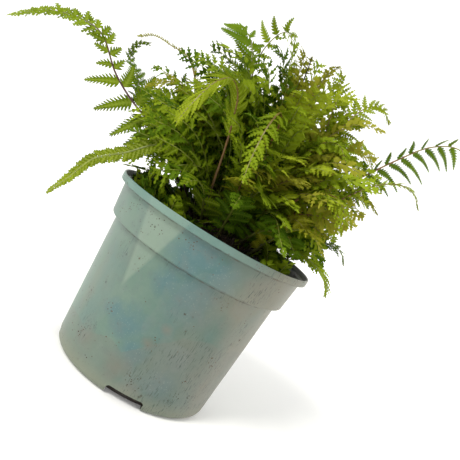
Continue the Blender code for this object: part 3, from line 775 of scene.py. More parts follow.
@dataclass
class Studio:
    """A seamless pale bowl, flat under the pot, with a broad key light, two soft boxes and an even sky."""

    flat: float = 1.0
    reach: float = 5.0
    height: float = 4.0
    curve: float = 2.2
    rings: int = 40
    sides: int = 96
    sky: float = 0.52
    key: float = 2.1
    key_size: float = math.radians(16.0)
    middle: Vector = field(default_factory=lambda: Vector((0.0, 0.0, 0.12)))
    boxes: tuple[tuple, ...] = (
        ("window", (-1.15, -0.55, 0.42), 0.45, 2.2, (0.96, 0.98, 1.0)),
        ("rear", (0.5, 1.2, 1.1), 1.0, 4.0, (1.0, 1.0, 0.97)))

    def build(self) -> None:
        """Make the floor, the lights and the sky."""
        self.floor()
        even = {"angle": self.key_size, "energy": self.key, "color": (1.0, 0.985, 0.94)}
        self.light("key", "SUN", (-0.60, -0.80, 1.05), Vector(), even)
        for name, spot, size, power, tone in self.boxes:
            self.light(name, "AREA", spot, self.middle, {"size": size, "energy": power, "color": tone})
        world = bpy.data.worlds.new("even_sky")
        world.use_nodes = True
        back = world.node_tree.nodes["Background"]
        back.inputs["Color"].default_value = (1.0, 1.0, 1.0, 1.0)
        back.inputs["Strength"].default_value = self.sky
        bpy.context.scene.world = world
        bpy.context.scene.view_settings.view_transform = "Standard"

    def floor(self) -> None:
        """Make the floor, which curves up far from the pot."""
        radii = np.linspace(0.0, self.reach, self.rings + 1)[1:]
        rise = np.clip((radii - self.flat) / (self.reach - self.flat), 0.0, 1.0)
        points = turned(radii, self.height * rise ** self.curve, self.sides)
        faces = body_faces(self.rings, self.sides)[:-self.sides]
        mesh = new_mesh("floor", np.concatenate([points, [[0.0, 0.0, 0.0]]]), faces)
        mesh.shade_smooth()
        mesh.materials.append(StageFinish().material())
        floor = put("floor", mesh)

    @staticmethod
    def light(name: str, kind: str, spot: tuple, aim: Vector, settings: dict) -> None:
        """Add a light.

        Args:
            name: Its name.
            kind: Its type.
            spot: Its place.
            aim: What it faces.
            settings: Its own properties.
        """
        lamp = bpy.data.lights.new(name, kind)
        for key, value in settings.items():
            setattr(lamp, key, value)
        light = put(name, lamp)
        light.location = spot
        light.rotation_euler = (aim - light.location).to_track_quat("-Z", "Y").to_euler()


@dataclass
class NurseryPot:
    """The moulded pot: thin wall, lip, collar with an inner ledge, and a rounded foot with drain notches."""

    height: float = 124.5 * MM
    rim_radius: float = 75.0 * MM
    rim_band: float = 5.0 * MM
    lip_round: float = 0.6 * MM
    collar_top: float = 71.2 * MM
    collar_foot: float = 69.0 * MM
    collar_drop: float = 28.0 * MM
    collar_round: float = 1.4 * MM
    body_top: float = 64.8 * MM
    body_foot: float = 59.3 * MM
    foot_round: float = 5.0 * MM
    wall: float = 1.3 * MM
    floor: float = 2.0 * MM
    sides: int = 180
    notches: int = 4
    notch_size: tuple[float, float] = (27.0 * MM, 7.0 * MM)
    notch_start: float = 47.0 * MM
    notch_corner: float = 2.5 * MM
    first_notch: float = math.radians(-83.0)

    def outer(self, height: np.ndarray) -> np.ndarray:
        """Outer radius at a height.

        Args:
            height: One height or an array of them.

        Returns:
            The radius.
        """
        collar = self.height - self.collar_drop
        lip = self.height - self.rim_band
        heights = [0.0, collar, collar + 0.1 * MM, lip, lip + 0.1 * MM, self.height]
        rim = self.rim_radius
        radii = [self.body_foot, self.body_top, self.collar_foot, self.collar_top, rim, rim]
        return np.interp(height, heights, radii)

    def blocks(self, points: np.ndarray, room: float) -> bool:
        """Whether any of the points comes within a distance of the pot's wall or floor, or goes below it.

        Args:
            points: Rows of points.
            room: The distance.

        Returns:
            Whether one does.
        """
        across = np.hypot(points[:, 0], points[:, 1])
        outer = self.outer(points[:, 2])
        in_wall = (across > outer - self.wall - room) & (across < outer + room)
        return bool(np.any((in_wall & (points[:, 2] < self.height + room)) | (points[:, 2] < room)))

    def profile(self) -> list[tuple[float, float]]:
        """Half the pot's section, from the middle of the floor inside round to its middle below.

        Returns:
            Each corner's radius and height.
        """
        collar = self.height - self.collar_drop
        lip = self.height - self.rim_band
        inner_foot = self.body_foot - self.foot_round
        points = [(0.0, self.floor), (inner_foot, self.floor)]
        points += arc((inner_foot, self.foot_round), self.foot_round - self.wall, -60, 0, 4)
        points += [
            (self.body_top - self.wall, collar - self.wall),
            (self.collar_foot - self.wall, collar + self.wall),
            (self.collar_top - self.wall, lip - 0.4 * MM),
            (self.collar_top - 0.6 * self.wall, lip + 0.7 * self.wall),
            (self.rim_radius - self.wall - 0.4 * MM, lip + self.wall),
        ]
        inside_lip = (self.rim_radius - self.wall + self.lip_round, self.height - self.lip_round)
        points += arc(inside_lip, self.lip_round, 180, 90, 4)
        outside_lip = (self.rim_radius - self.lip_round, self.height - self.lip_round)
        points += arc(outside_lip, self.lip_round, 80, 0, 4)
        under_lip = (self.rim_radius - self.lip_round, lip + self.lip_round)
        points += arc(under_lip, self.lip_round, 0, -90, 4)
        points += [(self.collar_top, lip - 0.2 * MM)]
        corner = (self.collar_foot - self.collar_round, collar + self.collar_round)
        points += arc(corner, self.collar_round, 0, -90, 6)
        points += [(self.body_top + 0.3 * MM, collar), (self.body_top, collar - 0.5 * MM)]
        points += arc((inner_foot, self.foot_round), self.foot_round, 0, -90, 8)
        points += [(inner_foot - 8.0 * MM, 0.0), (inner_foot - 8.4 * MM, 0.4 * MM), (0.0, 0.4 * MM)]
        return points

    def build(self) -> bpy.types.Object:
        """Turn the pot, cut its notches and finish it.

        Returns:
            The pot.
        """
        first, *inner, last = self.profile()
        rings = turned(*np.transpose(inner), self.sides)
        ends = [[0.0, 0.0, first[1]], [0.0, 0.0, last[1]]]
        faces = body_faces(len(inner), self.sides)
        pot = put("nursery_pot", new_mesh("nursery_pot", np.concatenate([rings, ends]), faces))
        self.carve(pot)
        pot.data.materials.clear()
        pot.data.materials.append(PlasticFinish().material())
        pot.data.shade_smooth()
        pot.data.set_sharp_from_angle(angle=math.radians(38.0))
        return settle(pot, "pot_plastic", "pot")

    def carve(self, pot: bpy.types.Object) -> None:
        """Cut the foot notches out of the pot's mesh.

        Args:
            pot: The pot.
        """
        body = bmesh.new()
        width, height = self.notch_size
        length = self.rim_radius - self.notch_start
        for index in range(self.notches):
            turn = Matrix.Rotation(self.first_notch + index * math.tau / self.notches, 4, "Z")
            place = Matrix.Translation((self.notch_start + length / 2, 0.0, 0.0))
            block = Matrix.Diagonal((length, width, 2 * height, 1.0))
            bmesh.ops.create_cube(body, size=1.0, matrix=turn @ place @ block)
        upper = [
            edge for edge in body.edges
            if min(vertex.co.z for vertex in edge.verts) > 0.0
            and abs(edge.verts[0].co.xy.length - edge.verts[1].co.xy.length) > 0.5 * length
        ]
        bmesh.ops.bevel(body, geom=upper, offset=self.notch_corner, segments=5, profile=0.5, affect="EDGES")
        mesh = bpy.data.meshes.new("cutter")
        body.to_mesh(mesh)
        body.free()
        cutter = put("cutter", mesh)
        carving = pot.modifiers.new("carving", "BOOLEAN")
        carving.operation = "DIFFERENCE"
        carving.object = cutter
        bpy.context.view_layer.update()
        graph = bpy.context.evaluated_depsgraph_get()
        carved = bpy.data.meshes.new_from_object(pot.evaluated_get(graph))
        pot.modifiers.clear()
        pot.data = carved
        bpy.data.objects.remove(cutter, do_unlink=True)


def arc(centre: tuple, radius: float, start: float, end: float, steps: int) -> list[tuple[float, float]]:
    """Points of an arc in (radius, height), between two angles in degrees from +radius towards +height."""
    angles = np.radians(np.linspace(start, end, steps + 1))
    return [(centre[0] + radius * math.cos(a), centre[1] + radius * math.sin(a)) for a in angles]


def lump(centre: np.ndarray, size: np.ndarray, rng: np.random.Generator) -> Body:
    """A rough crumb: an icosahedron with its corners pulled about.

    Args:
        centre: Its place.
        size: Its half sizes.
        rng: The random source.

    Returns:
        Its points and triangles.
    """
    turn = np.linalg.qr(rng.normal(size=(3, 3)))[0]
    corners = ICO_POINTS * rng.uniform(0.72, 1.2, (12, 1)) * size
    return corners @ turn.T * np.sign(np.linalg.det(turn)) + centre, ICO_FACES


GOLDEN = (1.0 + math.sqrt(5.0)) / 2.0
ICO_POINTS = unit(np.array([
    point for a in (-1.0, 1.0) for b in (-GOLDEN, GOLDEN) for point in ((0.0, a, b), (a, b, 0.0), (b, 0.0, a))
]))


def hull_faces(points: np.ndarray) -> np.ndarray:
    """Triangles of a small convex body, outward.

    Args:
        points: Its corners.

    Returns:
        The triangles.
    """
    body = bmesh.new()
    for point in points:
        body.verts.new(point)
    bmesh.ops.convex_hull(body, input=body.verts)
    body.verts.index_update()
    bmesh.ops.recalc_face_normals(body, faces=body.faces)
    faces = np.array([[vertex.index for vertex in face.verts] for face in body.faces])
    body.free()
    return faces


ICO_FACES = hull_faces(ICO_POINTS)


@dataclass
class PottingMix:
    """The moist mix: a crumbly mound with bark, pale grit and loose fibres on it."""

    pot: NurseryPot
    edge_height: float = 108.0 * MM
    mound: float = 5.0 * MM
    roughness: float = 1.2 * MM
    crumb: float = 9.0 * MM
    gap: float = 0.35 * MM
    rings: int = 58
    sides: int = 168
    scatters: tuple[tuple, ...] = ((900, 0.8, 0.8, 0), (300, 1.5, 0.45, 1), (50, 0.8, 0.8, 2))
    fibre_count: int = 130
    rng: np.random.Generator = field(default_factory=lambda: np.random.default_rng(11))
    draft: MeshDraft = field(default_factory=lambda: MeshDraft("crumbly_potting_mix"))

    @property
    def edge(self) -> float:
        """How far out the crumbs lie."""
        return self.pot.collar_foot - self.pot.wall - 3.0 * MM

    def surface(self, x: float, y: float) -> float:
        """Height of the crumbly mound.

        Args:
            x: Place across.
            y: Place in depth.

        Returns:
            The height.
        """
        share = min(1.0, math.hypot(x, y) / self.pot.collar_top)
        spot = Vector((x, y, 0.0))
        crumbs = noise.noise(spot / self.crumb) + 0.5 * noise.noise(spot.yxz / (0.5 * self.crumb))
        fine = 0.45 * noise.noise(spot / (2.6 * MM)) + 0.28 * noise.noise(spot.yxz / (1.2 * MM))
        smooth = self.edge_height + self.mound * (1.0 - share ** 2)
        return smooth + self.roughness * crumbs + fine * MM

    def build(self) -> bpy.types.Object:
        """Make the mix and what lies on it.

        Returns:
            The mix.
        """
        self.fill()
        for scatter in self.scatters:
            self.scatter(*scatter)
        self.fibres()
        finishes = (
            EarthFinish("moist_peat", (0.008, 0.0055, 0.004, 1.0), (0.03, 0.019, 0.011, 1.0), 1.4),
            EarthFinish("bark_bits", (0.02, 0.011, 0.006, 1.0), (0.09, 0.05, 0.025, 1.0), 0.8, 0.85),
            EarthFinish("pale_grit", (0.16, 0.13, 0.10, 1.0), (0.55, 0.52, 0.46, 1.0), 0.9, 0.8, 0.3),
            EarthFinish("old_roots", (0.03, 0.018, 0.009, 1.0), (0.17, 0.11, 0.05, 1.0), 1.5, 0.75, 0.3),
        )
        return self.draft.build(finishes, 60.0, "potting_mix", "potting_mix")

    def fill(self) -> None:
        """Add the mix itself: its crumbly top, its sides inside the pot and its underside."""
        pot = self.pot
        collar = pot.height - pot.collar_drop
        inset = pot.wall + self.gap
        brim = pot.collar_foot - inset
        below = [
            (brim, collar + pot.wall + self.gap), (pot.body_top - inset, collar - pot.wall - self.gap),
            (pot.body_foot - inset, pot.foot_round + pot.floor),
            (pot.body_foot - pot.foot_round - self.gap, pot.floor + self.gap),
        ]
        rings = [(radius, 0.0) for radius in np.linspace(0.0, brim, self.rings + 1)[1:]] + below
        points = turned(*np.transpose(rings), self.sides)
        for point in points[:self.rings * self.sides]:
            point[2] = self.surface(point[0], point[1])
        ends = [[0.0, 0.0, self.surface(0.0, 0.0)], [0.0, 0.0, below[-1][1]]]
        self.draft.add(np.concatenate([points, ends]), body_faces(len(rings), self.sides))

    def scatter(self, count: int, size: float, flat: float, slot: int) -> None:
        """Scatter crumbs over the mound.

        Args:
            count: How many.
            size: Their usual half size in mm.
            flat: Their thickness as a share of it.
            slot: Their finish.
        """
        rng = self.rng
        for _ in range(count):
            radius, angle = self.edge * math.sqrt(rng.uniform()), rng.uniform(0.0, math.tau)
            x, y = radius * math.cos(angle), radius * math.sin(angle)
            half = size * MM * rng.uniform(0.5, 1.35) * np.array([1.0, rng.uniform(0.5, 0.9), flat])
            centre = np.array([x, y, self.surface(x, y) + 0.3 * half[2]])
            self.draft.add(*lump(centre, half, rng), slot)

    def fibres(self) -> None:
        """Lay loose root fibres over the mound."""
        rng = self.rng
        for _ in range(self.fibre_count):
            heading, length = rng.uniform(0.0, math.tau), rng.uniform(9.0, 30.0) * MM
            radius, angle = 0.85 * self.edge * math.sqrt(rng.uniform()), rng.uniform(0.0, math.tau)
            bend = rng.uniform(-1.4, 1.4)
            spot = np.array([radius * math.cos(angle), radius * math.sin(angle)])
            line = []
            for share in np.linspace(0.0, 1.0, 9):
                turn = heading + bend * share
                spot = spot + np.array([math.cos(turn), math.sin(turn)]) * length / 8
                spot = spot * min(1.0, self.edge / max(np.hypot(*spot), 1e-6))
                hump = 1.4 * MM * math.sin(math.pi * share) * rng.uniform(0.2, 1.0)
                line.append((spot[0], spot[1], self.surface(*spot) + 0.25 * MM + hump))
            radii = rng.uniform(0.12, 0.26) * MM * np.linspace(1.0, 0.45, 9)
            self.draft.add(*tube(np.array(line), radii, 4), 3)


@dataclass
class Rhizome:
    """The creeping stem at the soil, lumpy, scaly and set with the stubs of old stalks."""

    mix: PottingMix
    centre: Vector = field(default_factory=lambda: Vector((4.0, 0.0, 110.0)) * MM)
    half: Vector = field(default_factory=lambda: Vector((40.0, 30.0, 12.0)) * MM)
    lump: float = 1.2 * MM
    lumps: float = 2.6
    lump_seed: Vector = field(default_factory=lambda: Vector((3.0, 1.0, 7.0)))
    segments: int = 88
    rings: int = 44
    stub_count: int = 34
    scale_count: int = 420
    rng: np.random.Generator = field(default_factory=lambda: np.random.default_rng(5))
    draft: MeshDraft = field(default_factory=lambda: MeshDraft("scaly_rhizome"))

    def surface(self, direction: Vector) -> Vector:
        """Point of the lumpy stem.

        Args:
            direction: Its direction from the centre.

        Returns:
            The point.
        """
        swell = self.lump * noise.noise(direction * self.lumps + self.lump_seed)
        fine = 0.5 * MM * noise.noise(direction * 11.0) + 0.3 * MM * noise.noise(direction * 27.0)
        radius = 1.0 / math.sqrt(sum((direction[i] / self.half[i]) ** 2 for i in range(3)))
        return self.centre + direction * (radius + swell + fine)

    def top(self, x: float, y: float) -> float:
        """Height of the smooth stem over a point of the plan."""
        across = ((x - self.centre.x) / self.half.x) ** 2 + ((y - self.centre.y) / self.half.y) ** 2
        return self.centre.z + self.half.z * math.sqrt(max(0.05, 1.0 - across))

    def build(self) -> bpy.types.Object:
        """Make the stem, its scales and the old stubs.

        Returns:
            The rhizome.
        """
        body = bmesh.new()
        bmesh.ops.create_uvsphere(body, u_segments=self.segments, v_segments=self.rings, radius=1.0)
        for vertex in body.verts:
            vertex.co = self.surface(vertex.co.normalized())
        bmesh.ops.triangulate(body, faces=body.faces)
        body.verts.index_update()
        points = np.array([vertex.co[:] for vertex in body.verts])
        self.draft.add(points, [[vertex.index for vertex in face.verts] for face in body.faces])
        body.free()
        self.stubs()
        self.scales()
        finishes = (
            EarthFinish("rhizome_bark", (0.008, 0.005, 0.003, 1.0), (0.035, 0.02, 0.011, 1.0), 1.3, 0.85),
            EarthFinish("brown_scales", (0.02, 0.010, 0.005, 1.0), (0.09, 0.048, 0.022, 1.0), 0.8, 0.7, 0.2),
        )
        return self.draft.build(finishes, 60.0, "rhizome", "rhizome")

    def seat(self) -> tuple[Vector, Vector]:
        """A random place on the stem's upper side.

        Returns:
            The place, and the way up from it.
        """
        angle, share = self.rng.uniform(0.0, math.tau), math.sqrt(self.rng.uniform(0.0, 0.85))
        flat = Vector((share * math.cos(angle), share * math.sin(angle), math.sqrt(1.0 - share ** 2)))
        direction = Vector(flat[i] * self.half[i] for i in range(3)).normalized()
        up = Vector(flat[i] / self.half[i] for i in range(3)).normalized()
        return self.surface(direction), up

    def stubs(self) -> None:
        """Add the broken stubs of old stalks."""
        rng = self.rng
        for _ in range(self.stub_count):
            spot, up = self.seat()
            lean = (up + Vector(rng.normal(0.0, 0.45, 3))).normalized()
            length = rng.uniform(4.0, 13.0) * MM
            steps = np.linspace(-0.25, 1.0, 5)
            bend = Vector(rng.normal(0.0, 0.12, 3))
            line = np.array([spot + lean * (length * s) + bend * (length * s * s) for s in steps])
            radii = rng.uniform(0.7, 1.1) * MM * np.array([1.2, 1.05, 0.95, 0.9, 0.55])
            self.draft.add(*tube(line, radii, 7))

    def scales(self) -> None:
        """Add the papery scales."""
        for _ in range(self.scale_count):
            spot, up = map(np.array, self.seat())
            self.draft.add(*flake(spot, up, self.rng.uniform(1.6, 3.6) * MM, self.rng), 1)


def flake(spot: np.ndarray, up: np.ndarray, length: float, rng: np.random.Generator) -> Body:
    """A papery pointed scale, thin and closed, that stands away from a surface.

    Args:
        spot: Its foot.
        up: The way out of the surface.
        length: Its length.
        rng: The random source.

    Returns:
        Its points and triangles.
    """
    lie = unit(np.cross(up, rng.normal(size=3)))
    axis = unit(lie + up * rng.uniform(0.25, 0.9))
    side = unit(np.cross(axis, up)) * length * rng.uniform(0.12, 0.2)
    back = unit(np.cross(side, axis)) * length * 0.05
    middle = spot + axis * length * 0.4 + back
    points = [spot - up * 0.2 * MM, middle - side, middle + side, spot + axis * length, middle + 2 * back]
    faces = [[0, 2, 1], [1, 2, 3], [0, 1, 4], [0, 4, 2], [1, 3, 4], [2, 4, 3]]
    return np.array(points), np.array(faces)


@dataclass(frozen=True)
class PinnaForm:
    """How a frond's pinnae are shaped.

    A profile gives their lengths along the blade, and a rhythm their steps in mm.
    """

    fill: float = 1.4
    slimness: float = 0.38
    stub_width: float = 0.20
    lobe_step: float = 2.2
    lobe_lean: tuple[float, float] = (66.0, 36.0)
    wing: float = 0.24
    sickle: float = 0.10
    keel: float = 14.0
    cup: float = 0.20
    taper: float = 0.85
    shoulder: float = 0.12
    lean: float = 0.0
    uneven: float = 1.0
    chance: float = 1.0
    simple: bool = False
    profile: Curve = ((0.0, 0.72), (0.2, 0.86), (0.5, 0.66), (0.8, 0.36), (1.0, 0.06))
    rhythm: Curve = ((0.0, 8.0), (0.5, 6.0), (1.0, 3.0))


class Habit(Enum):
    """The kinds of pinnae on this plant."""

    LANCE = PinnaForm()
    TAIL = PinnaForm(
        fill=1.9, slimness=0.56, stub_width=0.36, lobe_step=2.4, wing=0.44, taper=0.68, sickle=0.12,
        profile=((0.0, 0.66), (0.33, 0.79), (0.37, 0.5), (0.41, 0.32), (0.6, 0.28), (0.8, 0.20), (1.0, 0.07)),
        rhythm=((0.0, 10.0), (0.12, 13.0), (0.3, 17.0), (0.41, 10.0), (0.5, 7.5), (0.6, 4.6), (1.0, 2.4)))
    ARC = PinnaForm(
        fill=1.6, lobe_step=2.0,
        profile=((0.0, 0.9), (0.25, 0.8), (0.42, 0.30), (0.6, 0.12), (1.0, 0.05)),
        rhythm=((0.0, 8.0), (0.4, 4.5), (0.7, 2.8), (1.0, 2.0)))
    COMB = PinnaForm(
        slimness=0.26, lobe_step=1.6, uneven=0.5, lean=-8.0,
        profile=((0.0, 0.8), (0.3, 0.6), (0.5, 0.36), (0.84, 0.34), (0.93, 0.15), (1.0, 0.10)),
        rhythm=((0.0, 7.0), (0.5, 3.8), (1.0, 2.4)))
    CURL = PinnaForm(
        fill=1.5, slimness=0.42, lobe_step=2.0, profile=((0.0, 1.0), (0.5, 0.7), (0.7, 0.34), (1.0, 0.12)))
    PLUME = PinnaForm(
        slimness=0.36, lobe_step=2.1, sickle=0.20, chance=1.7,
        profile=((0.0, 0.6), (0.3, 0.72), (0.7, 0.55), (1.0, 0.15)),
        rhythm=((0.0, 7.0), (0.5, 5.0), (1.0, 3.0)))
    SPRAY = PinnaForm(
        fill=1.6, slimness=0.44, lobe_step=2.0, wing=0.5, taper=0.7, uneven=0.5, chance=1.3,
        profile=((0.0, 0.6), (0.4, 0.5), (0.68, 0.42), (0.78, 0.80), (0.9, 0.75), (1.0, 0.2)),
        rhythm=((0.0, 8.0), (0.7, 8.0), (0.8, 11.0), (1.0, 6.0)))
    HANGING = PinnaForm(
        fill=0.95, slimness=0.32, lobe_step=1.9, wing=0.4, sickle=-0.26, lean=-16.0, taper=0.8, uneven=0.6,
        profile=((0.0, 1.0), (0.4, 1.0), (0.7, 0.8), (0.9, 0.6), (1.0, 0.25)),
        rhythm=((0.0, 6.0), (0.3, 9.0), (0.8, 10.0), (1.0, 5.0)))
    RIBBON = PinnaForm(
        fill=1.9, slimness=0.70, lobe_step=1.6, lobe_lean=(72.0, 50.0), wing=0.6, keel=4.0, cup=0.1,
        sickle=0.12, taper=0.45, shoulder=0.3, lean=-6.0, chance=0.35,
        profile=((0.0, 0.55), (0.35, 0.46), (0.65, 0.40), (0.85, 0.26), (1.0, 0.08)),
        rhythm=((0.0, 3.6), (0.5, 2.9), (1.0, 1.8)))
    FEATHER = PinnaForm(
        fill=1.8, slimness=0.26, lobe_step=1.7, wing=0.3, keel=6.0, sickle=0.22, lean=-26.0, chance=0.9,
        profile=((0.0, 0.5), (0.2, 0.72), (0.6, 0.66), (0.85, 0.42), (1.0, 0.15)),
        rhythm=((0.0, 3.2), (0.6, 2.6), (1.0, 1.8)))
    SICKLE = PinnaForm(
        fill=1.1, slimness=0.38, sickle=0.36, lean=18.0, uneven=0.45,
        profile=((0.0, 0.8), (0.35, 1.0), (0.55, 0.95), (0.75, 0.70), (0.9, 0.5), (1.0, 0.2)),
        rhythm=((0.0, 10.0), (0.6, 9.0), (1.0, 6.0)))
    THREAD = PinnaForm(
        slimness=0.17, stub_width=0.05, sickle=0.04, lobe_step=1.9, lean=16.0, uneven=2.3,
        profile=((0.0, 0.3), (0.5, 0.34), (0.85, 0.25), (1.0, 0.08)),
        rhythm=((0.0, 7.0), (0.6, 6.0), (1.0, 4.0)))
    YOUNG = PinnaForm(
        slimness=0.50, lobe_step=2.0, wing=0.3, taper=0.7, shoulder=0.2,
        rhythm=((0.0, 6.5), (0.6, 5.0), (1.0, 3.0)))
    INNER = PinnaForm(
        fill=1.5, slimness=0.42, lobe_step=2.8, wing=0.28, simple=True, chance=1.7,
        profile=((0.0, 0.6), (0.3, 0.85), (0.7, 0.8), (0.9, 0.55), (1.0, 0.2)),
        rhythm=((0.0, 8.5), (0.6, 7.0), (1.0, 4.0)))
    BROAD = PinnaForm(
        fill=1.5, slimness=0.60, lobe_step=2.7, wing=0.5, taper=0.55, shoulder=0.25, simple=True, chance=1.4,
        profile=((0.0, 0.6), (0.3, 0.85), (0.7, 0.7), (1.0, 0.2)))
    SPRIG = PinnaForm(
        fill=1.6, slimness=0.75, wing=0.5, taper=0.6, shoulder=0.3, simple=True, chance=1.2,
        profile=((0.0, 0.8), (0.4, 1.0), (1.0, 0.5)), rhythm=((0.0, 5.5), (1.0, 4.0)))


@dataclass(frozen=True)
class FrondPlan:
    """One frond in mm and degrees, with the same root, path and blade as its solid."""

    root: tuple[float, float]
    heading: float
    path: Curve
    reach: float
    leaf: Leaf
    bare: float = 0.35
    roll: tuple[float, float] = (0.0, 0.0)
    fold: float = 15.0
    droop: float = 0.12
    sway: float = 0.0
    habit: Habit = Habit.LANCE
    stalk: Stalk = Stalk.RUSSET
    tint: float = 0.5
    scales: int = 14
    girth: float = 1.0


YOUNG = {"bare": 0.18, "fold": 12, "habit": Habit.YOUNG, "stalk": Stalk.GREEN}
FRONDS = (
    FrondPlan((-20, 0), 180,
              ((34, 153), (72, 165), (96, 177), (119, 196), (139, 197), (160, 190), (183, 173)),
              36, Leaf.BRIGHT, 0.24, (-64, -50), 6, habit=Habit.TAIL, stalk=Stalk.PURPLE, tint=0.4),
    FrondPlan((-16, -9), -150, ((18, 150), (34, 157), (50, 152), (66, 137), (82, 124), (90, 106), (97, 92)),
              15, Leaf.PALE, 0.20, (-50, -60), 5, habit=Habit.RIBBON, stalk=Stalk.GREEN, tint=0.22),
    FrondPlan((-12, 8), 152, ((33, 164), (65, 201), (86, 218), (106, 220), (128, 221), (143, 214)),
              30, Leaf.OLIVE, 0.26, (0, 40), 25, habit=Habit.ARC),
    FrondPlan((-22, 9), 165, ((41, 150), (79, 172), (96, 188), (104, 192), (107, 200), (104, 208), (96, 211)),
              30, Leaf.DEEP, 0.26, (-20, -10), 10, habit=Habit.CURL, stalk=Stalk.PURPLE, tint=0.6),
    FrondPlan((-5, -13), -117,
              ((20, 142), (32, 169), (42, 189), (52, 203), (65, 208), (78, 201), (87, 184), (91, 170)),
              24, Leaf.PALE, 0.46, (0, -10), -4, habit=Habit.FEATHER),
    FrondPlan((-6, 3), 148, ((14, 177), (28, 212), (40, 234), (52, 250), (68, 258)),
              30, Leaf.DEEP, 0.34, (-45, -50), 5, habit=Habit.SPRAY, stalk=Stalk.PURPLE, tint=0.55),
    FrondPlan((3, 9), 140, ((14, 157), (37, 199), (52, 228), (57, 250), (52, 266), (43, 271), (33, 262)),
              24, Leaf.BRIGHT, 0.44, (-55, -60), 8, habit=Habit.SICKLE, stalk=Stalk.PURPLE),
    FrondPlan((3, -3), -97, ((1, 160), (4, 196), (16, 222), (32, 238), (48, 246)),
              21, Leaf.OLIVE, 0.40, fold=0, habit=Habit.THREAD, stalk=Stalk.BLACK, tint=0.3),
    FrondPlan((18, 4), 20, ((12, 152), (23, 180), (26, 196), (17, 212), (11, 230), (7, 248), (0, 260)),
              32, Leaf.PALE, 0.22, (40, 60), 15, habit=Habit.PLUME, tint=0.35),
    FrondPlan((21, -3), 25, ((8, 160), (14, 200), (20, 228), (28, 248), (40, 254), (52, 248)),
              24, Leaf.PALE, 0.30, (30, 50), 5, habit=Habit.PLUME, tint=0.3),
    FrondPlan((27, 4), 10, ((12, 150), (28, 182), (44, 206), (60, 230), (75, 249), (93, 259), (116, 256)),
              28, Leaf.DEEP, 0.24, (-60, -60), -10, 0.2, habit=Habit.HANGING, tint=0.5),
    FrondPlan((31, -4), -8, ((10, 145), (28, 176), (46, 202), (60, 212), (72, 212), (80, 204)),
              28, Leaf.BRIGHT, 0.24, (35, 20), -5, habit=Habit.COMB),
    FrondPlan((26, -12), -22, ((12, 130), (24, 137), (42, 138), (54, 135), (61, 129), (63, 124)),
              16, Leaf.BRIGHT, 0.30, (30, 30), 5, habit=Habit.FEATHER, stalk=Stalk.GREEN, tint=0.5),
    FrondPlan((17, -11), -28, ((10, 145), (26, 172), (42, 182), (54, 178), (60, 164)),
              28, Leaf.PALE, 0.24, (30, 20), -5, habit=Habit.PLUME, tint=0.3),
    FrondPlan((27, 13), 20, ((14, 140), (31, 172), (48, 192), (62, 196), (78, 190)),
              28, Leaf.OLIVE, 0.24, (35, 20), -5, habit=Habit.PLUME),
    FrondPlan((33, 5), 0, ((14, 134), (29, 147), (42, 153), (53, 152), (59, 145)),
              24, Leaf.DEEP, 0.20, (25, 20), 0, stalk=Stalk.GREEN),
    FrondPlan((5, -14), -116, ((6, 155), (14, 182), (24, 202), (36, 208), (48, 196), (56, 174), (58, 160)),
              21, Leaf.BRIGHT, 0.26, fold=-8, sway=24, habit=Habit.PLUME, tint=0.42),
    FrondPlan((20, 15), 50, ((18, 160), (36, 200), (56, 224), (80, 232), (104, 222)),
              28, Leaf.BRIGHT, 0.22, (25, 20), 10),
    FrondPlan((13, 17), 88, ((16, 160), (38, 198), (66, 218), (98, 220), (126, 204)),
              28, Leaf.DEEP, 0.22, fold=12, stalk=Stalk.PURPLE, tint=0.6),
    FrondPlan((-8, 15), 125, ((16, 150), (42, 184), (72, 200), (104, 194), (124, 174)),
              28, Leaf.BRIGHT, 0.22, (-30, -20), 12, stalk=Stalk.PURPLE, tint=0.4),
    FrondPlan((12, 3), -50, ((8, 160), (18, 190), (30, 208), (44, 212), (58, 204)),
              24, Leaf.BRIGHT, 0.22, (20, 20), 5, habit=Habit.PLUME, tint=0.35),
    FrondPlan((-13, -3), -165, ((14, 150), (30, 178), (46, 192), (64, 192), (78, 180)),
              24, Leaf.OLIVE, 0.22, (-35, -30), 5, habit=Habit.PLUME, tint=0.5),
    FrondPlan((12, -6), -100, ((6, 150), (14, 172), (26, 184), (40, 182), (50, 168)),
              20, Leaf.DEEP, 0.22, fold=5),
    FrondPlan((-24, -7), -172, ((10, 124), (22, 130), (34, 132), (44, 130), (53, 127)),
              18, Leaf.DEEP, 0.16, fold=14, habit=Habit.YOUNG, stalk=Stalk.GREEN),
    FrondPlan((-9, -19), -115, ((10, 130), (22, 142), (36, 146), (50, 140)),
              20, Leaf.BRIGHT, **YOUNG, tint=0.35),
    FrondPlan((17, -18), -60, ((10, 130), (24, 141), (40, 143), (56, 135)), 20, Leaf.DEEP, **YOUNG, tint=0.6),
    FrondPlan((28, 17), 38, ((12, 130), (30, 142), (50, 144), (70, 134)), 22, Leaf.BRIGHT, **YOUNG, tint=0.4),
    FrondPlan((-20, 17), 140, ((12, 130), (30, 143), (52, 146), (74, 136)), 22, Leaf.DEEP, **YOUNG, tint=0.6),
    FrondPlan((27, -19), -38, ((10, 134), (22, 150), (36, 154), (52, 146)), 20, Leaf.OLIVE, **YOUNG),
    FrondPlan((4, -24), -90, ((8, 134), (18, 148), (30, 152), (44, 144)), 20, Leaf.DEEP, **YOUNG),
    FrondPlan((-14, 22), 108, ((10, 134), (26, 152), (46, 160), (70, 152)),
              24, Leaf.BRIGHT, **YOUNG, tint=0.4),
    FrondPlan((5, 22), 75, ((12, 132), (30, 150), (54, 155), (80, 144)), 22, Leaf.OLIVE, **YOUNG),
)


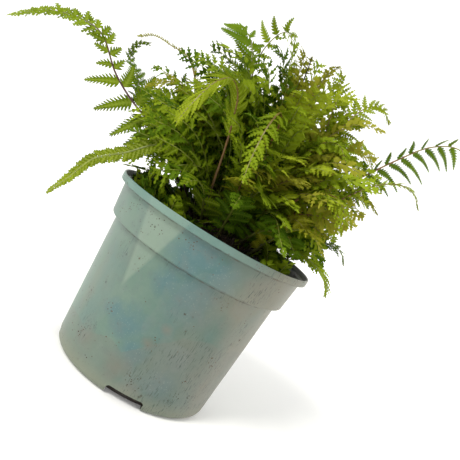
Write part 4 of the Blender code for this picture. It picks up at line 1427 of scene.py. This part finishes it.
class Rachis:
    """The line of a frond's stalk and midrib, with its frame at any place along it."""

    SAMPLES = 240
    SOCKET_DEPTH = 5.0 * MM
    STRAIGHT = 8.0 * MM

    def __init__(self, plan: FrondPlan, top: float) -> None:
        """Lay the line.

        Args:
            plan: The frond.
            top: The height that its stalk leaves the ground at.
        """
        self.plan = plan
        heading = math.radians(plan.heading)
        self.forward = np.array([math.cos(heading), math.sin(heading), 0.0])
        self.side = np.array([-math.sin(heading), math.cos(heading), 0.0])
        path = np.array(plan.path, float) * MM
        start = np.array([0.0, top])
        first = unit(path[0] - start)
        foot = start - first * self.SOCKET_DEPTH
        line = self.through(np.concatenate([[foot, foot + first * self.STRAIGHT], path]))
        reach = np.concatenate([[0.0], np.cumsum(np.linalg.norm(np.diff(line, axis=0), axis=1))])
        self.length = float(reach[-1])
        even = np.linspace(0.0, self.length, self.SAMPLES)
        out = np.interp(even, reach, line[:, 0])
        up = np.interp(even, reach, line[:, 1])
        drift = plan.sway * MM * (even / self.length) ** 2
        root = np.array([plan.root[0] * MM, plan.root[1] * MM, 0.0])
        self.places = root + np.outer(out, self.forward) + np.outer(drift, self.side)
        self.places[:, 2] += up

    @staticmethod
    def through(knots: np.ndarray, steps: int = 24) -> np.ndarray:
        """Smooth line through the knots, each stretch a cubic with the slopes of its neighbours.

        Args:
            knots: Rows of points.
            steps: How many steps each stretch takes.

        Returns:
            The line's points.
        """
        gaps = np.linalg.norm(np.diff(knots, axis=0), axis=1)
        times = np.concatenate([[0.0], np.cumsum(gaps)])
        slopes = np.empty_like(knots)
        slopes[1:-1] = (knots[2:] - knots[:-2]) / (times[2:] - times[:-2])[:, None]
        slopes[0] = (knots[1] - knots[0]) / gaps[0]
        slopes[-1] = (knots[-1] - knots[-2]) / gaps[-1]
        line = [knots[0]]
        for index, gap in enumerate(gaps):
            for step in range(1, steps + 1):
                t = step / steps
                line.append(
                    (2 * t**3 - 3 * t**2 + 1) * knots[index]
                    + (t**3 - 2 * t**2 + t) * gap * slopes[index]
                    + (3 * t**2 - 2 * t**3) * knots[index + 1]
                    + (t**3 - t**2) * gap * slopes[index + 1]
                )
        return np.array(line)

    def place(self, distance: float) -> np.ndarray:
        """Point at a distance along the line.

        Args:
            distance: The distance.

        Returns:
            The point.
        """
        spot = min(max(distance / self.length, 0.0), 1.0) * (self.SAMPLES - 1)
        index = min(int(spot), self.SAMPLES - 2)
        share = spot - index
        return self.places[index] * (1.0 - share) + self.places[index + 1] * share

    def axes(self, distance: float) -> tuple[np.ndarray, np.ndarray, np.ndarray]:
        """Tangent, blade side and upper face at a distance along the line.

        Args:
            distance: The distance.

        Returns:
            The three directions.
        """
        step = self.length / self.SAMPLES
        tangent = unit(self.place(distance + step) - self.place(distance - step))
        flat = unit(self.side - tangent * self.side.dot(tangent))
        upper = np.cross(tangent, flat)
        start, end = self.plan.roll
        roll = math.radians(start + (end - start) * distance / self.length)
        side = flat * math.cos(roll) + upper * math.sin(roll)
        return tangent, side, np.cross(tangent, side)


@dataclass(frozen=True)
class Seat:
    """Where a pinna sits: its base, its axis, the way across towards the frond's tip, and its upper face."""

    base: np.ndarray
    axis: np.ndarray
    across: np.ndarray
    normal: np.ndarray


class Pinna:
    """One pinna as a thin closed leaf: a rib with toothed lobes on both sides, cupped and curved."""

    BIG_ROWS = ((0.50, 1.0), (0.54, 0.78), (0.78, 0.70), (0.82, 0.46))
    SMALL_ROWS = ((0.50, 1.0), (0.78, 0.66))
    BIG_LOBE = 4.2 * MM
    LOBE_FILL = 0.94
    FIRST, LAST = 0.03, 0.94
    THICKNESS, RIB_DEPTH = 0.16 * MM, 1.4
    CROWDING = 1.12
    HUMP, DIP = 0.10, 0.05
    BASE, LEAST_HALF = 0.04, 0.12 * MM
    RIPPLE, FIRST_LOBE = 0.07, 1.12
    FORK, TIP_ASIDE = 0.9, 0.18
    CHECKS = np.array([0.15, 0.4, 0.65, 0.9, 1.0])
    SLOT = 1

    def __init__(
        self, seat: Seat, length: float, half: float, droop: float, form: PinnaForm, tint: float,
    ) -> None:
        """Lay the pinna's rib.

        Args:
            seat: Where it sits.
            length: Its length.
            half: Half its width.
            droop: How far its tip hangs, as a share of its length.
            form: Its shape.
            tint: Its tint, from old to young.
        """
        self.seat, self.length, self.half, self.droop = seat, length, half, droop
        self.form, self.tint = form, tint
        self.lobes = max(2, min(14, round(length / (form.lobe_step * MM))))

    def rib(self, shares: np.ndarray) -> tuple[np.ndarray, np.ndarray, np.ndarray, np.ndarray]:
        """Places and directions along the rib.

        Args:
            shares: Shares of its length.

        Returns:
            Places, tangents, ways across and upper faces.
        """
        seat, form = self.seat, self.form
        v = np.asarray(shares, float)[:, None]
        fall = np.array([0.0, 0.0, -self.droop * self.length])
        bend = seat.across * (form.sickle * self.length)
        hump = seat.normal * (self.HUMP * self.length)
        places = seat.base + seat.axis * self.length * v + (fall + bend) * v ** 2 + hump * (v - v ** 2)
        tangents = unit(seat.axis * self.length + 2.0 * v * (fall + bend) + hump * (1.0 - 2.0 * v))
        across = unit(seat.across - tangents * np.sum(seat.across * tangents, axis=1, keepdims=True))
        return places, tangents, across, unit(np.cross(tangents, across)) * self.facing()

    def facing(self) -> float:
        """1 or -1, so that the upper face stays the seat's."""
        return float(np.sign(np.dot(np.cross(self.seat.axis, self.seat.across), self.seat.normal)) or 1.0)

    def width(self, shares: np.ndarray) -> np.ndarray:
        """Half width at shares of the length.

        Args:
            shares: The shares.

        Returns:
            The half widths.
        """
        rise = np.clip((shares + self.BASE) / (self.form.shoulder + self.BASE), 0.0, 1.0) ** 0.6
        fall = np.clip((1.0 - shares) / (1.0 - self.form.shoulder), 0.0, 1.0) ** self.form.taper
        return self.half * rise * fall + self.LEAST_HALF

    def outline(self) -> np.ndarray:
        """A few points of the pinna, enough to test its room.

        Returns:
            The points.
        """
        places, _, across, _ = self.rib(self.CHECKS)
        wide = across * self.width(self.CHECKS)[:, None]
        return np.concatenate([places, places + wide, places - wide])

    def build(self, draft: MeshDraft) -> None:
        """Add the pinna to a piece.

        Args:
            draft: The piece.
        """
        count = self.lobes
        ends = 1.0 - (1.0 - np.arange(count + 1) / count) ** self.CROWDING
        ends = self.FIRST + (self.LAST - self.FIRST) * ends
        places, _, _, normals = self.rib(ends)
        under = places - normals * self.THICKNESS * self.RIB_DEPTH
        points = [places, under, self.rib(np.array([1.0]))[0]]
        marks = [self.mark(count + 1, 0.0, ends), self.mark(count + 1, 0.0, ends), self.mark(1, 0.8, 1.0)]
        rib_top = np.arange(count + 1)
        rib_under = rib_top + count + 1
        end = 2 * (count + 1)
        total = end + 1
        faces = []
        for sign in (1, -1):
            side_points, side_marks, layout = self.side(sign, ends, total)
            points += side_points
            marks += side_marks
            total = layout["total"]
            upper = self.faces(rib_top, layout, True, end)
            lower = self.faces(rib_under, layout, False, end)[:, ::-1]
            cap = [[rib_top[0], layout["notch"][0], rib_under[0]]]
            faces += [part[:, ::sign] for part in (upper, lower, np.array(cap))]
        faces = np.concatenate(faces)
        if self.facing() < 0:
            faces = faces[:, ::-1]
        draft.add(np.concatenate(points), faces, self.SLOT, np.concatenate(marks))

    def mark(self, count: int, across: float, along: object) -> np.ndarray:
        """Growth marks of some points, from how far they lie from a rib and how far along the pinna."""
        across, tint = np.full(count, across), np.full(count, self.tint)
        return np.stack([across, tint, np.broadcast_to(along, count)], -1)

    def side(self, sign: int, ends: np.ndarray, start: int) -> tuple[list, list, dict]:
        """Points of the lobes on one side of the rib.

        Args:
            sign: 1 for the side towards the frond's tip, -1 for the other.
            ends: Where the lobes begin and end along the rib.
            start: The index of the first new point.

        Returns:
            The points, their marks, and the index of each kind of point.
        """
        form, count = self.form, self.lobes
        middles = 0.5 * (ends[1:] + ends[:-1])
        first, last = np.radians(form.lobe_lean)
        keel = math.radians(form.keel)

        def directions(shares: np.ndarray) -> tuple:
            """Places, lobe directions, ways along, upper faces and lobe lengths.

            Args:
                shares: Shares of the rib.

            Returns:
                All five.
            """
            places, tangents, across, normals = self.rib(shares)
            lean = (first + (last - first) * shares)[:, None]
            outward = across * (sign * math.cos(keel)) + normals * math.sin(keel)
            reach = tangents * np.cos(lean) + outward * np.sin(lean)
            onward = tangents * np.sin(lean) - outward * np.cos(lean)
            return places, reach, onward, normals, self.width(shares) / np.sin(lean[:, 0])

        places, reach, _, normals, lengths = directions(ends)
        notch = places + reach * (form.wing * lengths)[:, None] - normals * (self.DIP * lengths)[:, None]
        points, marks = [notch], [self.mark(count + 1, 0.75, ends)]
        places, reach, onward, normals, lengths = directions(middles)
        lengths = lengths * (1.0 + self.RIPPLE * np.sin(5.1 * np.arange(count) + 9.0 * self.tint))
        if sign > 0:
            lengths[0] *= self.FIRST_LOBE
        half = 0.5 * self.length * np.diff(ends) * np.sin(first + (last - first) * middles) * self.LOBE_FILL
        rows = self.BIG_ROWS if lengths.max() > self.BIG_LOBE else self.SMALL_ROWS
        thick = normals * self.THICKNESS

        def spot(along: float, aside: float) -> np.ndarray:
            """Points of all lobes.

            Args:
                along: Share of their length.
                aside: Share of their half width.

            Returns:
                The points.
            """
            lift = 0.10 * along - 0.22 * along ** 2 - form.cup * 0.4 * abs(aside) * (0.4 + along)
            out = reach * (lengths * along)[:, None] + onward * (half * aside)[:, None]
            return places + out + normals * (lift * lengths)[:, None]

        layout = {"notch": start + np.arange(count + 1), "rows": []}
        index = start + count + 1
        if form.simple:
            rows = ()
        else:
            fork = spot(self.FORK * form.wing, 0.0)
            points += [fork, fork - thick]
            marks += [self.mark(count, 0.12, middles)] * 2
            layout["root"] = (index + np.arange(count), index + count + np.arange(count))
            index += 2 * count
        for along, wide in rows:
            near = spot(along, 0.0)
            points += [spot(along, -wide), spot(along, wide), near, near - thick * (1.0 - 0.6 * along)]
            marks += [self.mark(count, 1.0, middles)] * 2 + [self.mark(count, 0.15, middles)] * 2
            layout["rows"].append(index + np.arange(4 * count).reshape(4, count))
            index += 4 * count
        points.append(spot(1.0, self.TIP_ASIDE))
        marks.append(self.mark(count, 0.9, middles))
        layout["tips"] = index + np.arange(count)
        layout["total"] = index + count
        return points, marks, layout

    @staticmethod
    def faces(rib: np.ndarray, layout: dict, upper: bool, end: int) -> np.ndarray:
        """Triangles of one face of one side.

        Args:
            rib: The indices of the rib's points.
            layout: The indices of the side's points.
            upper: Whether it is the upper face.
            end: The index of the pinna's tip.

        Returns:
            The triangles.
        """
        notch = layout["notch"]
        root = layout["root"][0 if upper else 1] if "root" in layout else layout["tips"]
        triangles = [
            (rib[:-1], rib[1:], root), (rib[:-1], root, notch[:-1]), (rib[1:], notch[1:], root),
        ]
        back, middle, front = notch[:-1], root, notch[1:]
        for row in layout["rows"]:
            after = (row[0], row[2] if upper else row[3], row[1])
            triangles += [
                (back, middle, after[1]), (back, after[1], after[0]),
                (middle, front, after[2]), (middle, after[2], after[1]),
            ]
            back, middle, front = after
        tips = layout["tips"]
        if "root" in layout:
            triangles += [(back, middle, tips), (middle, front, tips)]
        faces = np.concatenate([np.stack(triangle, -1) for triangle in triangles])
        return np.concatenate([faces, [[rib[-1], end, notch[-1]]]])


CREASE = 66.0
GOLDEN_ANGLE = 137.508


class FernFrond:
    """One frond: a tapering stalk with scales at its foot, and its pinnae in pairs up to the tip."""

    FOOT_RADIUS = 0.95 * MM
    TIP_RADIUS = 0.28 * MM
    SIDES = 6
    RINGS = 64
    FEW_RINGS = 14
    LEAN, LEAN_FALL, LEAN_RIPPLE = math.radians(76.0), math.radians(26.0), math.radians(5.0)
    FOLD_RIPPLE = math.radians(7.0)
    LEAST = 2.2 * MM
    SHORT = 20.0 * MM
    GROOVE = 0.78
    LAST_PAIR, LAST_LEAF = 0.97, 5.0 * MM
    SHIFT, LENGTH_CHANCE = 0.12, 0.09
    LEAN_CHANCE, TWIST = math.radians(9.0), math.radians(20.0)
    BEND_CHANCE, DROOP_CHANCE = 0.10, 0.10
    SWINGS = (0.0, 14.0, -14.0, 28.0, -28.0, 42.0, -42.0, 60.0)
    SIZES = (1.0, 0.7, 0.45)
    POT_ROOM, MIX_ROOM = 0.8 * MM, 3.0 * MM

    def __init__(
        self, number: int, plan: FrondPlan, mix: PottingMix, top: float, draft: MeshDraft | None = None,
    ) -> None:
        """Lay the frond's line.

        Args:
            number: Its number, from 1.
            plan: Its plan.
            mix: The mix, which it keeps above, in the pot, which it keeps clear of.
            top: The height that it grows from.
            draft: The piece that it is added to, unless it is a piece of its own.
        """
        self.number, self.plan, self.pot, self.mix = number, plan, mix.pot, mix
        self.form = plan.habit.value
        self.draft = draft or MeshDraft(f"fern_frond_{number:02d}")
        self.rachis = Rachis(plan, top)
        self.rng = np.random.default_rng(100 + number)

    def radius(self, distance: float) -> float:
        """Radius of the stalk or midrib at a distance along it."""
        share = distance / self.rachis.length
        return self.plan.girth * (self.FOOT_RADIUS * (1.0 - share) ** 0.8 + self.TIP_RADIUS * share)

    def build(self) -> bpy.types.Object:
        """Make the frond.

        Returns:
            The frond.
        """
        self.grow()
        finishes = (self.plan.stalk.value, self.plan.leaf.value)
        return self.draft.build(finishes, CREASE, "frond", f"frond_{self.number:02d}")

    def grow(self) -> None:
        """Add the frond to its piece."""
        self.stalk()
        self.blade()

    def stalk(self) -> None:
        """Add the stalk and midrib, with a groove along its upper side, and its scales."""
        length = self.rachis.length
        rows = self.RINGS if self.plan.scales else self.FEW_RINGS
        angles = np.linspace(0.0, math.tau, self.SIDES, endpoint=False) + math.pi / 2
        groove = np.where(np.abs(angles - math.pi / 2) < 1e-6, self.GROOVE, 1.0)
        rings, marks = [], []
        for share in np.linspace(0.0, 1.0, rows):
            _, side, upper = self.rachis.axes(share * length)
            ring = np.outer(np.cos(angles) * groove, side) + np.outer(np.sin(angles) * groove, upper)
            rings.append(self.rachis.place(share * length) + ring * self.radius(share * length))
            marks.append(np.tile([0.0, self.plan.tint, share], (self.SIDES, 1)))
        points = np.concatenate([*rings, [self.rachis.place(0.0), self.rachis.place(length)]])
        faces = body_faces(rows, self.SIDES)[:, ::-1]
        self.draft.add(points, faces, 0, np.concatenate([*marks, [[0, 0, 0], [0, 0, 1]]]))
        for _ in range(self.plan.scales):
            distance = length * (0.02 + 0.22 * self.rng.uniform() ** 1.6)
            _, side, upper = self.rachis.axes(distance)
            angle = self.rng.uniform(0.0, math.tau)
            outward = side * math.cos(angle) + upper * math.sin(angle)
            spot = self.rachis.place(distance) + outward * self.radius(distance)
            size = self.rng.uniform(1.3, 3.0) * MM
            self.draft.add(*flake(spot, outward, size, self.rng), 0, (0.0, 0.0, 0.3))

    def blade(self) -> None:
        """Add the pinnae in pairs, and the last one at the tip."""
        plan, form, length = self.plan, self.form, self.rachis.length
        bare = plan.bare * length
        span = length - bare
        for index, (middle, room) in enumerate(self.rhythm(span)):
            for sign in (-1.0, 1.0):
                shift = self.SHIFT * room * sign * form.chance
                self.pinna(index, sign, bare + middle * span + shift, room, middle)
        tangent, side, upper = self.rachis.axes(length)
        last = min(self.LAST_LEAF, 0.3 * plan.reach * MM)
        seat = Seat(self.rachis.place(length - last), tangent, side, upper)
        Pinna(seat, last * 1.2, last * 0.3, 0.0, form, self.tint(1.0)).build(self.draft)

    def rhythm(self, span: float) -> list[tuple[float, float]]:
        """Where the pairs of pinnae sit.

        Args:
            span: The blade's length.

        Returns:
            Each pair's middle as a share of the blade, and the room it has along it.
        """
        shares, steps = zip(*self.form.rhythm)
        seats, place = [], 0.0
        while place < self.LAST_PAIR * span:
            room = float(np.interp(place / span, shares, steps)) * MM
            seats.append((min((place + 0.5 * room) / span, self.LAST_PAIR), room))
            place += room
        return seats

    def tint(self, share: float) -> float:
        """Tint at a share of the blade: younger towards the tip, with chance between pinnae."""
        return self.plan.tint - 0.22 + 0.5 * share ** 1.5 + float(self.rng.uniform(-0.13, 0.13))

    def profile(self, share: float) -> float:
        """Length of a pinna at a share of the blade, as a share of the longest."""
        shares, lengths = zip(*self.form.profile)
        return float(np.interp(share, shares, lengths))

    def pinna(self, index: int, sign: float, centre: float, room: float, share: float) -> None:
        """Add one pinna in the first position that clears the pot and the mix, or none.

        Args:
            index: The pair's number.
            sign: The side of the midrib.
            centre: Its place along the midrib.
            room: The room that it has there.
            share: Its share of the blade.
        """
        plan, form = self.plan, self.form
        ripple = math.sin(2.4 * index + 1.7 * self.number + 0.9 * sign)
        chance = self.rng.uniform(-1.0, 1.0, 6) * form.chance
        length = plan.reach * MM * self.profile(share) * (1.0 if sign > 0 else form.uneven)
        length = max(length, self.LEAST) * (1.0 + self.LENGTH_CHANCE * chance[0])
        lean = self.LEAN - self.LEAN_FALL * share + self.LEAN_RIPPLE * ripple + math.radians(form.lean)
        lean += self.LEAN_CHANCE * chance[2]
        bent = replace(form, sickle=form.sickle + self.BEND_CHANCE * chance[3])
        droop = plan.droop + self.DROOP_CHANCE * chance[4]
        tangent, side, upper = self.rachis.axes(centre)
        stub = form.stub_width * min(1.0, max(0.0, (self.SHORT - length) / (0.7 * self.SHORT)))
        half = 0.5 * min(form.fill * room * math.sin(lean), (form.slimness + stub) * length)
        for size in self.SIZES:
            for swing in self.SWINGS:
                fold = math.radians(plan.fold + swing) + self.FOLD_RIPPLE * (ripple + 0.6 * chance[1])
                outward = side * (sign * math.cos(fold)) + upper * math.sin(fold)
                axis = tangent * math.cos(lean) + outward * math.sin(lean)
                across = unit(tangent - axis * tangent.dot(axis))
                normal = np.cross(axis, across)
                normal *= np.sign(normal.dot(upper)) or 1.0
                twist = self.TWIST * chance[5]
                across = across * math.cos(twist) + normal * math.sin(twist)
                normal = unit(normal - across * normal.dot(across))
                seat = Seat(self.rachis.place(centre), axis, across, normal)
                leaf = Pinna(seat, length * size, half * size, droop, bent, self.tint(share))
                if self.clear(leaf.outline()):
                    leaf.build(self.draft)
                    return

    def clear(self, points: np.ndarray) -> bool:
        """Whether points keep clear of the pot and the mix.

        Args:
            points: The points.

        Returns:
            Whether they do.
        """
        if self.pot.blocks(points, self.POT_ROOM):
            return False
        inside = np.hypot(points[:, 0], points[:, 1]) < self.pot.collar_foot
        return not np.any(inside & (points[:, 2] < self.mix.edge_height + self.MIX_ROOM))


@dataclass
class InnerGrowth:
    """The crowded younger fronds, which fill the plant from its crown to a loose dome of arching tips."""

    rhizome: Rhizome
    count: int = 165
    thickets: tuple[tuple[float, float, float, float, int], ...] = (
        (-80.0, -10.0, 172.0, 14.0, 8), (-58.0, -12.0, 188.0, 14.0, 9), (-40.0, -4.0, 214.0, 13.0, 7),
        (-24.0, -10.0, 206.0, 12.0, 8), (34.0, -12.0, 214.0, 14.0, 6), (44.0, -26.0, 188.0, 14.0, 8))
    dome: tuple[float, float, float] = (-4.0, 2.0, 130.0)
    reach: tuple[float, float] = (82.0, 48.0)
    chance: tuple[float, float] = (0.78, 1.06)
    lowest: float = 0.04
    shaded: tuple[float, float] = (-30.0, 42.0)
    shaded_front: float = -12.0
    shaded_top: float = 156.0
    shaded_lift: float = 34.0
    first_number: int = 40
    seed: int = 23

    def build(self) -> None:
        """Make the fronds, in one piece for each green."""
        rng = np.random.default_rng(self.seed)
        plans = [self.plan(index, tip, rng) for index, tip in enumerate(self.tips(rng))]
        for leaf in Leaf:
            draft = MeshDraft(f"inner_fronds_{leaf.name.lower()}")
            for index, plan in enumerate(plans):
                if plan.leaf is leaf:
                    top = self.rhizome.top(plan.root[0] * MM, plan.root[1] * MM)
                    FernFrond(self.first_number + index, plan, self.rhizome.mix, top, draft).grow()
            stalk = Stalk.RUSSET if leaf is Leaf.OLIVE else Stalk.GREEN
            draft.build((stalk.value, leaf.value), CREASE, "frond")

    def tips(self, rng: np.random.Generator) -> list[np.ndarray]:
        """Where the fronds end: all over the dome, and in a few thickets of taller ones.

        Args:
            rng: The random source.

        Returns:
            The places in mm.
        """
        tips = []
        for index in range(self.count):
            turn = math.radians(index * GOLDEN_ANGLE + rng.uniform(-12.0, 12.0))
            rise = self.lowest + (1.0 - self.lowest) * (index + 0.5) / self.count
            level = math.sqrt(1.0 - rise ** 2)
            reach = (self.reach[0] + self.reach[1] * rise) * rng.uniform(*self.chance)
            way = np.array([level * math.cos(turn), 0.8 * level * math.sin(turn), rise])
            tip = np.array(self.dome) + reach * way
            in_front = tip[1] < self.shaded_front and self.shaded[0] < tip[0] < self.shaded[1]
            lift = self.shaded_lift if in_front and tip[2] < self.shaded_top else 0.0
            tips.append(tip + np.array([0.0, 0.0, lift]))
        for x, y, z, spread, number in self.thickets:
            tips += [np.array([x, y, z]) + rng.uniform(-spread, spread, 3) for _ in range(number)]
        return tips

    def plan(self, index: int, tip: np.ndarray, rng: np.random.Generator) -> FrondPlan:
        """Draw one frond's plan: its stalk rises from the crown and arches to its tip.

        Args:
            index: Its number.
            tip: Where it ends in mm.
            rng: The random source.

        Returns:
            The plan.
        """
        way = tip - np.array(self.dome)
        turn, level = math.atan2(way[1], way[0]), float(np.hypot(way[0], way[1]) / np.linalg.norm(way))
        spread = rng.uniform(0.3, 0.85) * level
        root = np.array([4.0 + 31.0 * spread * math.cos(turn), 22.0 * spread * math.sin(turn)])
        away = tip[:2] - root
        out, start = float(np.hypot(*away)), self.rhizome.top(root[0] * MM, root[1] * MM) / MM
        crest = start + max(1.1 * (tip[2] - start), rng.uniform(38.0, 62.0))
        bend = (rng.uniform(0.12, 0.32) * out, crest)
        path = []
        for share in (0.25, 0.5, 0.75, 1.0):
            first, second, last = (1.0 - share) ** 2, 2.0 * share * (1.0 - share), share ** 2
            path.append((second * bend[0] + last * out, first * start + second * bend[1] + last * tip[2]))
        habit = Habit.BROAD if tip[0] > 10.0 and index % 2 == 0 or index % 5 == 0 else Habit.INNER
        roll = 48.0 * math.copysign(away[0] / out, away[0] * (12.0 - tip[1])) + rng.uniform(-26.0, 26.0)
        # Fronds that end high on the right get a lighter tint: painted light standing in for the light
        # falling there.
        return FrondPlan(
            tuple(root), math.degrees(math.atan2(away[1], away[0])), tuple(path), rng.uniform(13.0, 20.0),
            self.green(tip, index), 0.28, (roll, roll + rng.uniform(-20.0, 20.0)),
            rng.uniform(-10.0, 20.0), 0.18, rng.uniform(-12.0, 12.0), habit, Stalk.GREEN,
            rng.uniform(0.2, 0.6) + (0.42 if tip[0] > 0.0 and tip[2] > 158.0 else 0.0), 0, 0.7)

    @staticmethod
    def green(tip: np.ndarray, index: int) -> Leaf:
        """The green of a frond: deep low down, fresh on one side of the plant, more yellow on the other.

        Args:
            tip: Where it ends in mm.
            index: Its number.

        Returns:
            The green.
        """
        if tip[2] < 151.0:
            return (Leaf.DEEP, Leaf.BRIGHT, Leaf.DEEP)[index % 3]
        if tip[0] < -20.0:
            return Leaf.DEEP if index % 3 == 0 else Leaf.BRIGHT
        if tip[0] < 0.0:
            return (Leaf.BRIGHT, Leaf.DEEP, Leaf.PALE, Leaf.BRIGHT, Leaf.OLIVE)[index % 5]
        if tip[0] < 48.0:
            return (Leaf.BRIGHT, Leaf.PALE, Leaf.OLIVE, Leaf.PALE)[index % 4]
        return (Leaf.OLIVE, Leaf.PALE, Leaf.BRIGHT, Leaf.OLIVE)[index % 4]


@dataclass
class RimSeedlings:
    """Low sprigs with rounded, toothed leaflets that fill the pot's mouth round the plant."""

    mix: PottingMix
    count: int = 84
    groups: int = 4
    first_number: int = 90
    seed: int = 31

    def build(self) -> None:
        """Make the sprigs in a few pieces."""
        rng = np.random.default_rng(self.seed)
        tones = (Leaf.DEEP, Leaf.BRIGHT, Leaf.DEEP, Leaf.BRIGHT)
        for group in range(self.groups):
            draft = MeshDraft(f"rim_seedlings_{group + 1:02d}")
            for index in range(group, self.count, self.groups):
                plan = self.plan(index, rng, tones[group])
                top = self.mix.surface(plan.root[0] * MM, plan.root[1] * MM)
                FernFrond(self.first_number + index, plan, self.mix, top, draft).grow()
            draft.build((Stalk.GREEN.value, tones[group].value), CREASE, "frond")

    def plan(self, index: int, rng: np.random.Generator, leaf: Leaf) -> FrondPlan:
        """Draw one sprig's plan.

        Args:
            index: Its number.
            rng: The random source.
            leaf: Its green.

        Returns:
            The plan.
        """
        angle = math.radians(index * GOLDEN_ANGLE + rng.uniform(-15.0, 15.0))
        radius = rng.uniform(30.0, 62.0)
        root = (radius * math.cos(angle), radius * math.sin(angle))
        heading = math.degrees(angle) + rng.uniform(-120.0, 120.0)
        up = self.mix.surface(root[0] * MM, root[1] * MM) / MM
        size = rng.uniform(16.0, 34.0)
        outward = math.cos(math.radians(heading) - angle)
        lean = 0.25 if outward > 0.3 and radius > 48.0 else 0.6
        if -8.0 < root[0] < 36.0 and root[1] < 22.0:
            root, size = (root[0], root[1] + 44.0), 16.0
        path = tuple(
            (share * lean * size, up + size * (share - 0.35 * share ** 2)) for share in (0.35, 0.7, 1.0))
        return FrondPlan(
            root, heading, path, rng.uniform(7.0, 12.0), leaf, 0.3, (0, 0), rng.uniform(0.0, 25.0),
            0.12, 0.0, Habit.SPRIG, Stalk.GREEN, rng.uniform(0.15, 0.6), 0, 0.5)


def main() -> None:
    """Build every part of the plant and its pot, and the studio round it."""
    logging.basicConfig(level=logging.INFO, format="%(message)s")
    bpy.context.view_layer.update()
    PhotoCamera().build()
    Studio().build()
    pot = NurseryPot()
    mix = PottingMix(pot)
    rhizome = Rhizome(mix)
    for piece in (pot, mix, rhizome):
        piece.build()
    for number, plan in enumerate(FRONDS, start=1):
        top = rhizome.top(plan.root[0] * MM, plan.root[1] * MM)
        FernFrond(number, plan, mix, top).build()
    InnerGrowth(rhizome).build()
    RimSeedlings(mix).build()


if __name__ == "__main__":
    main()
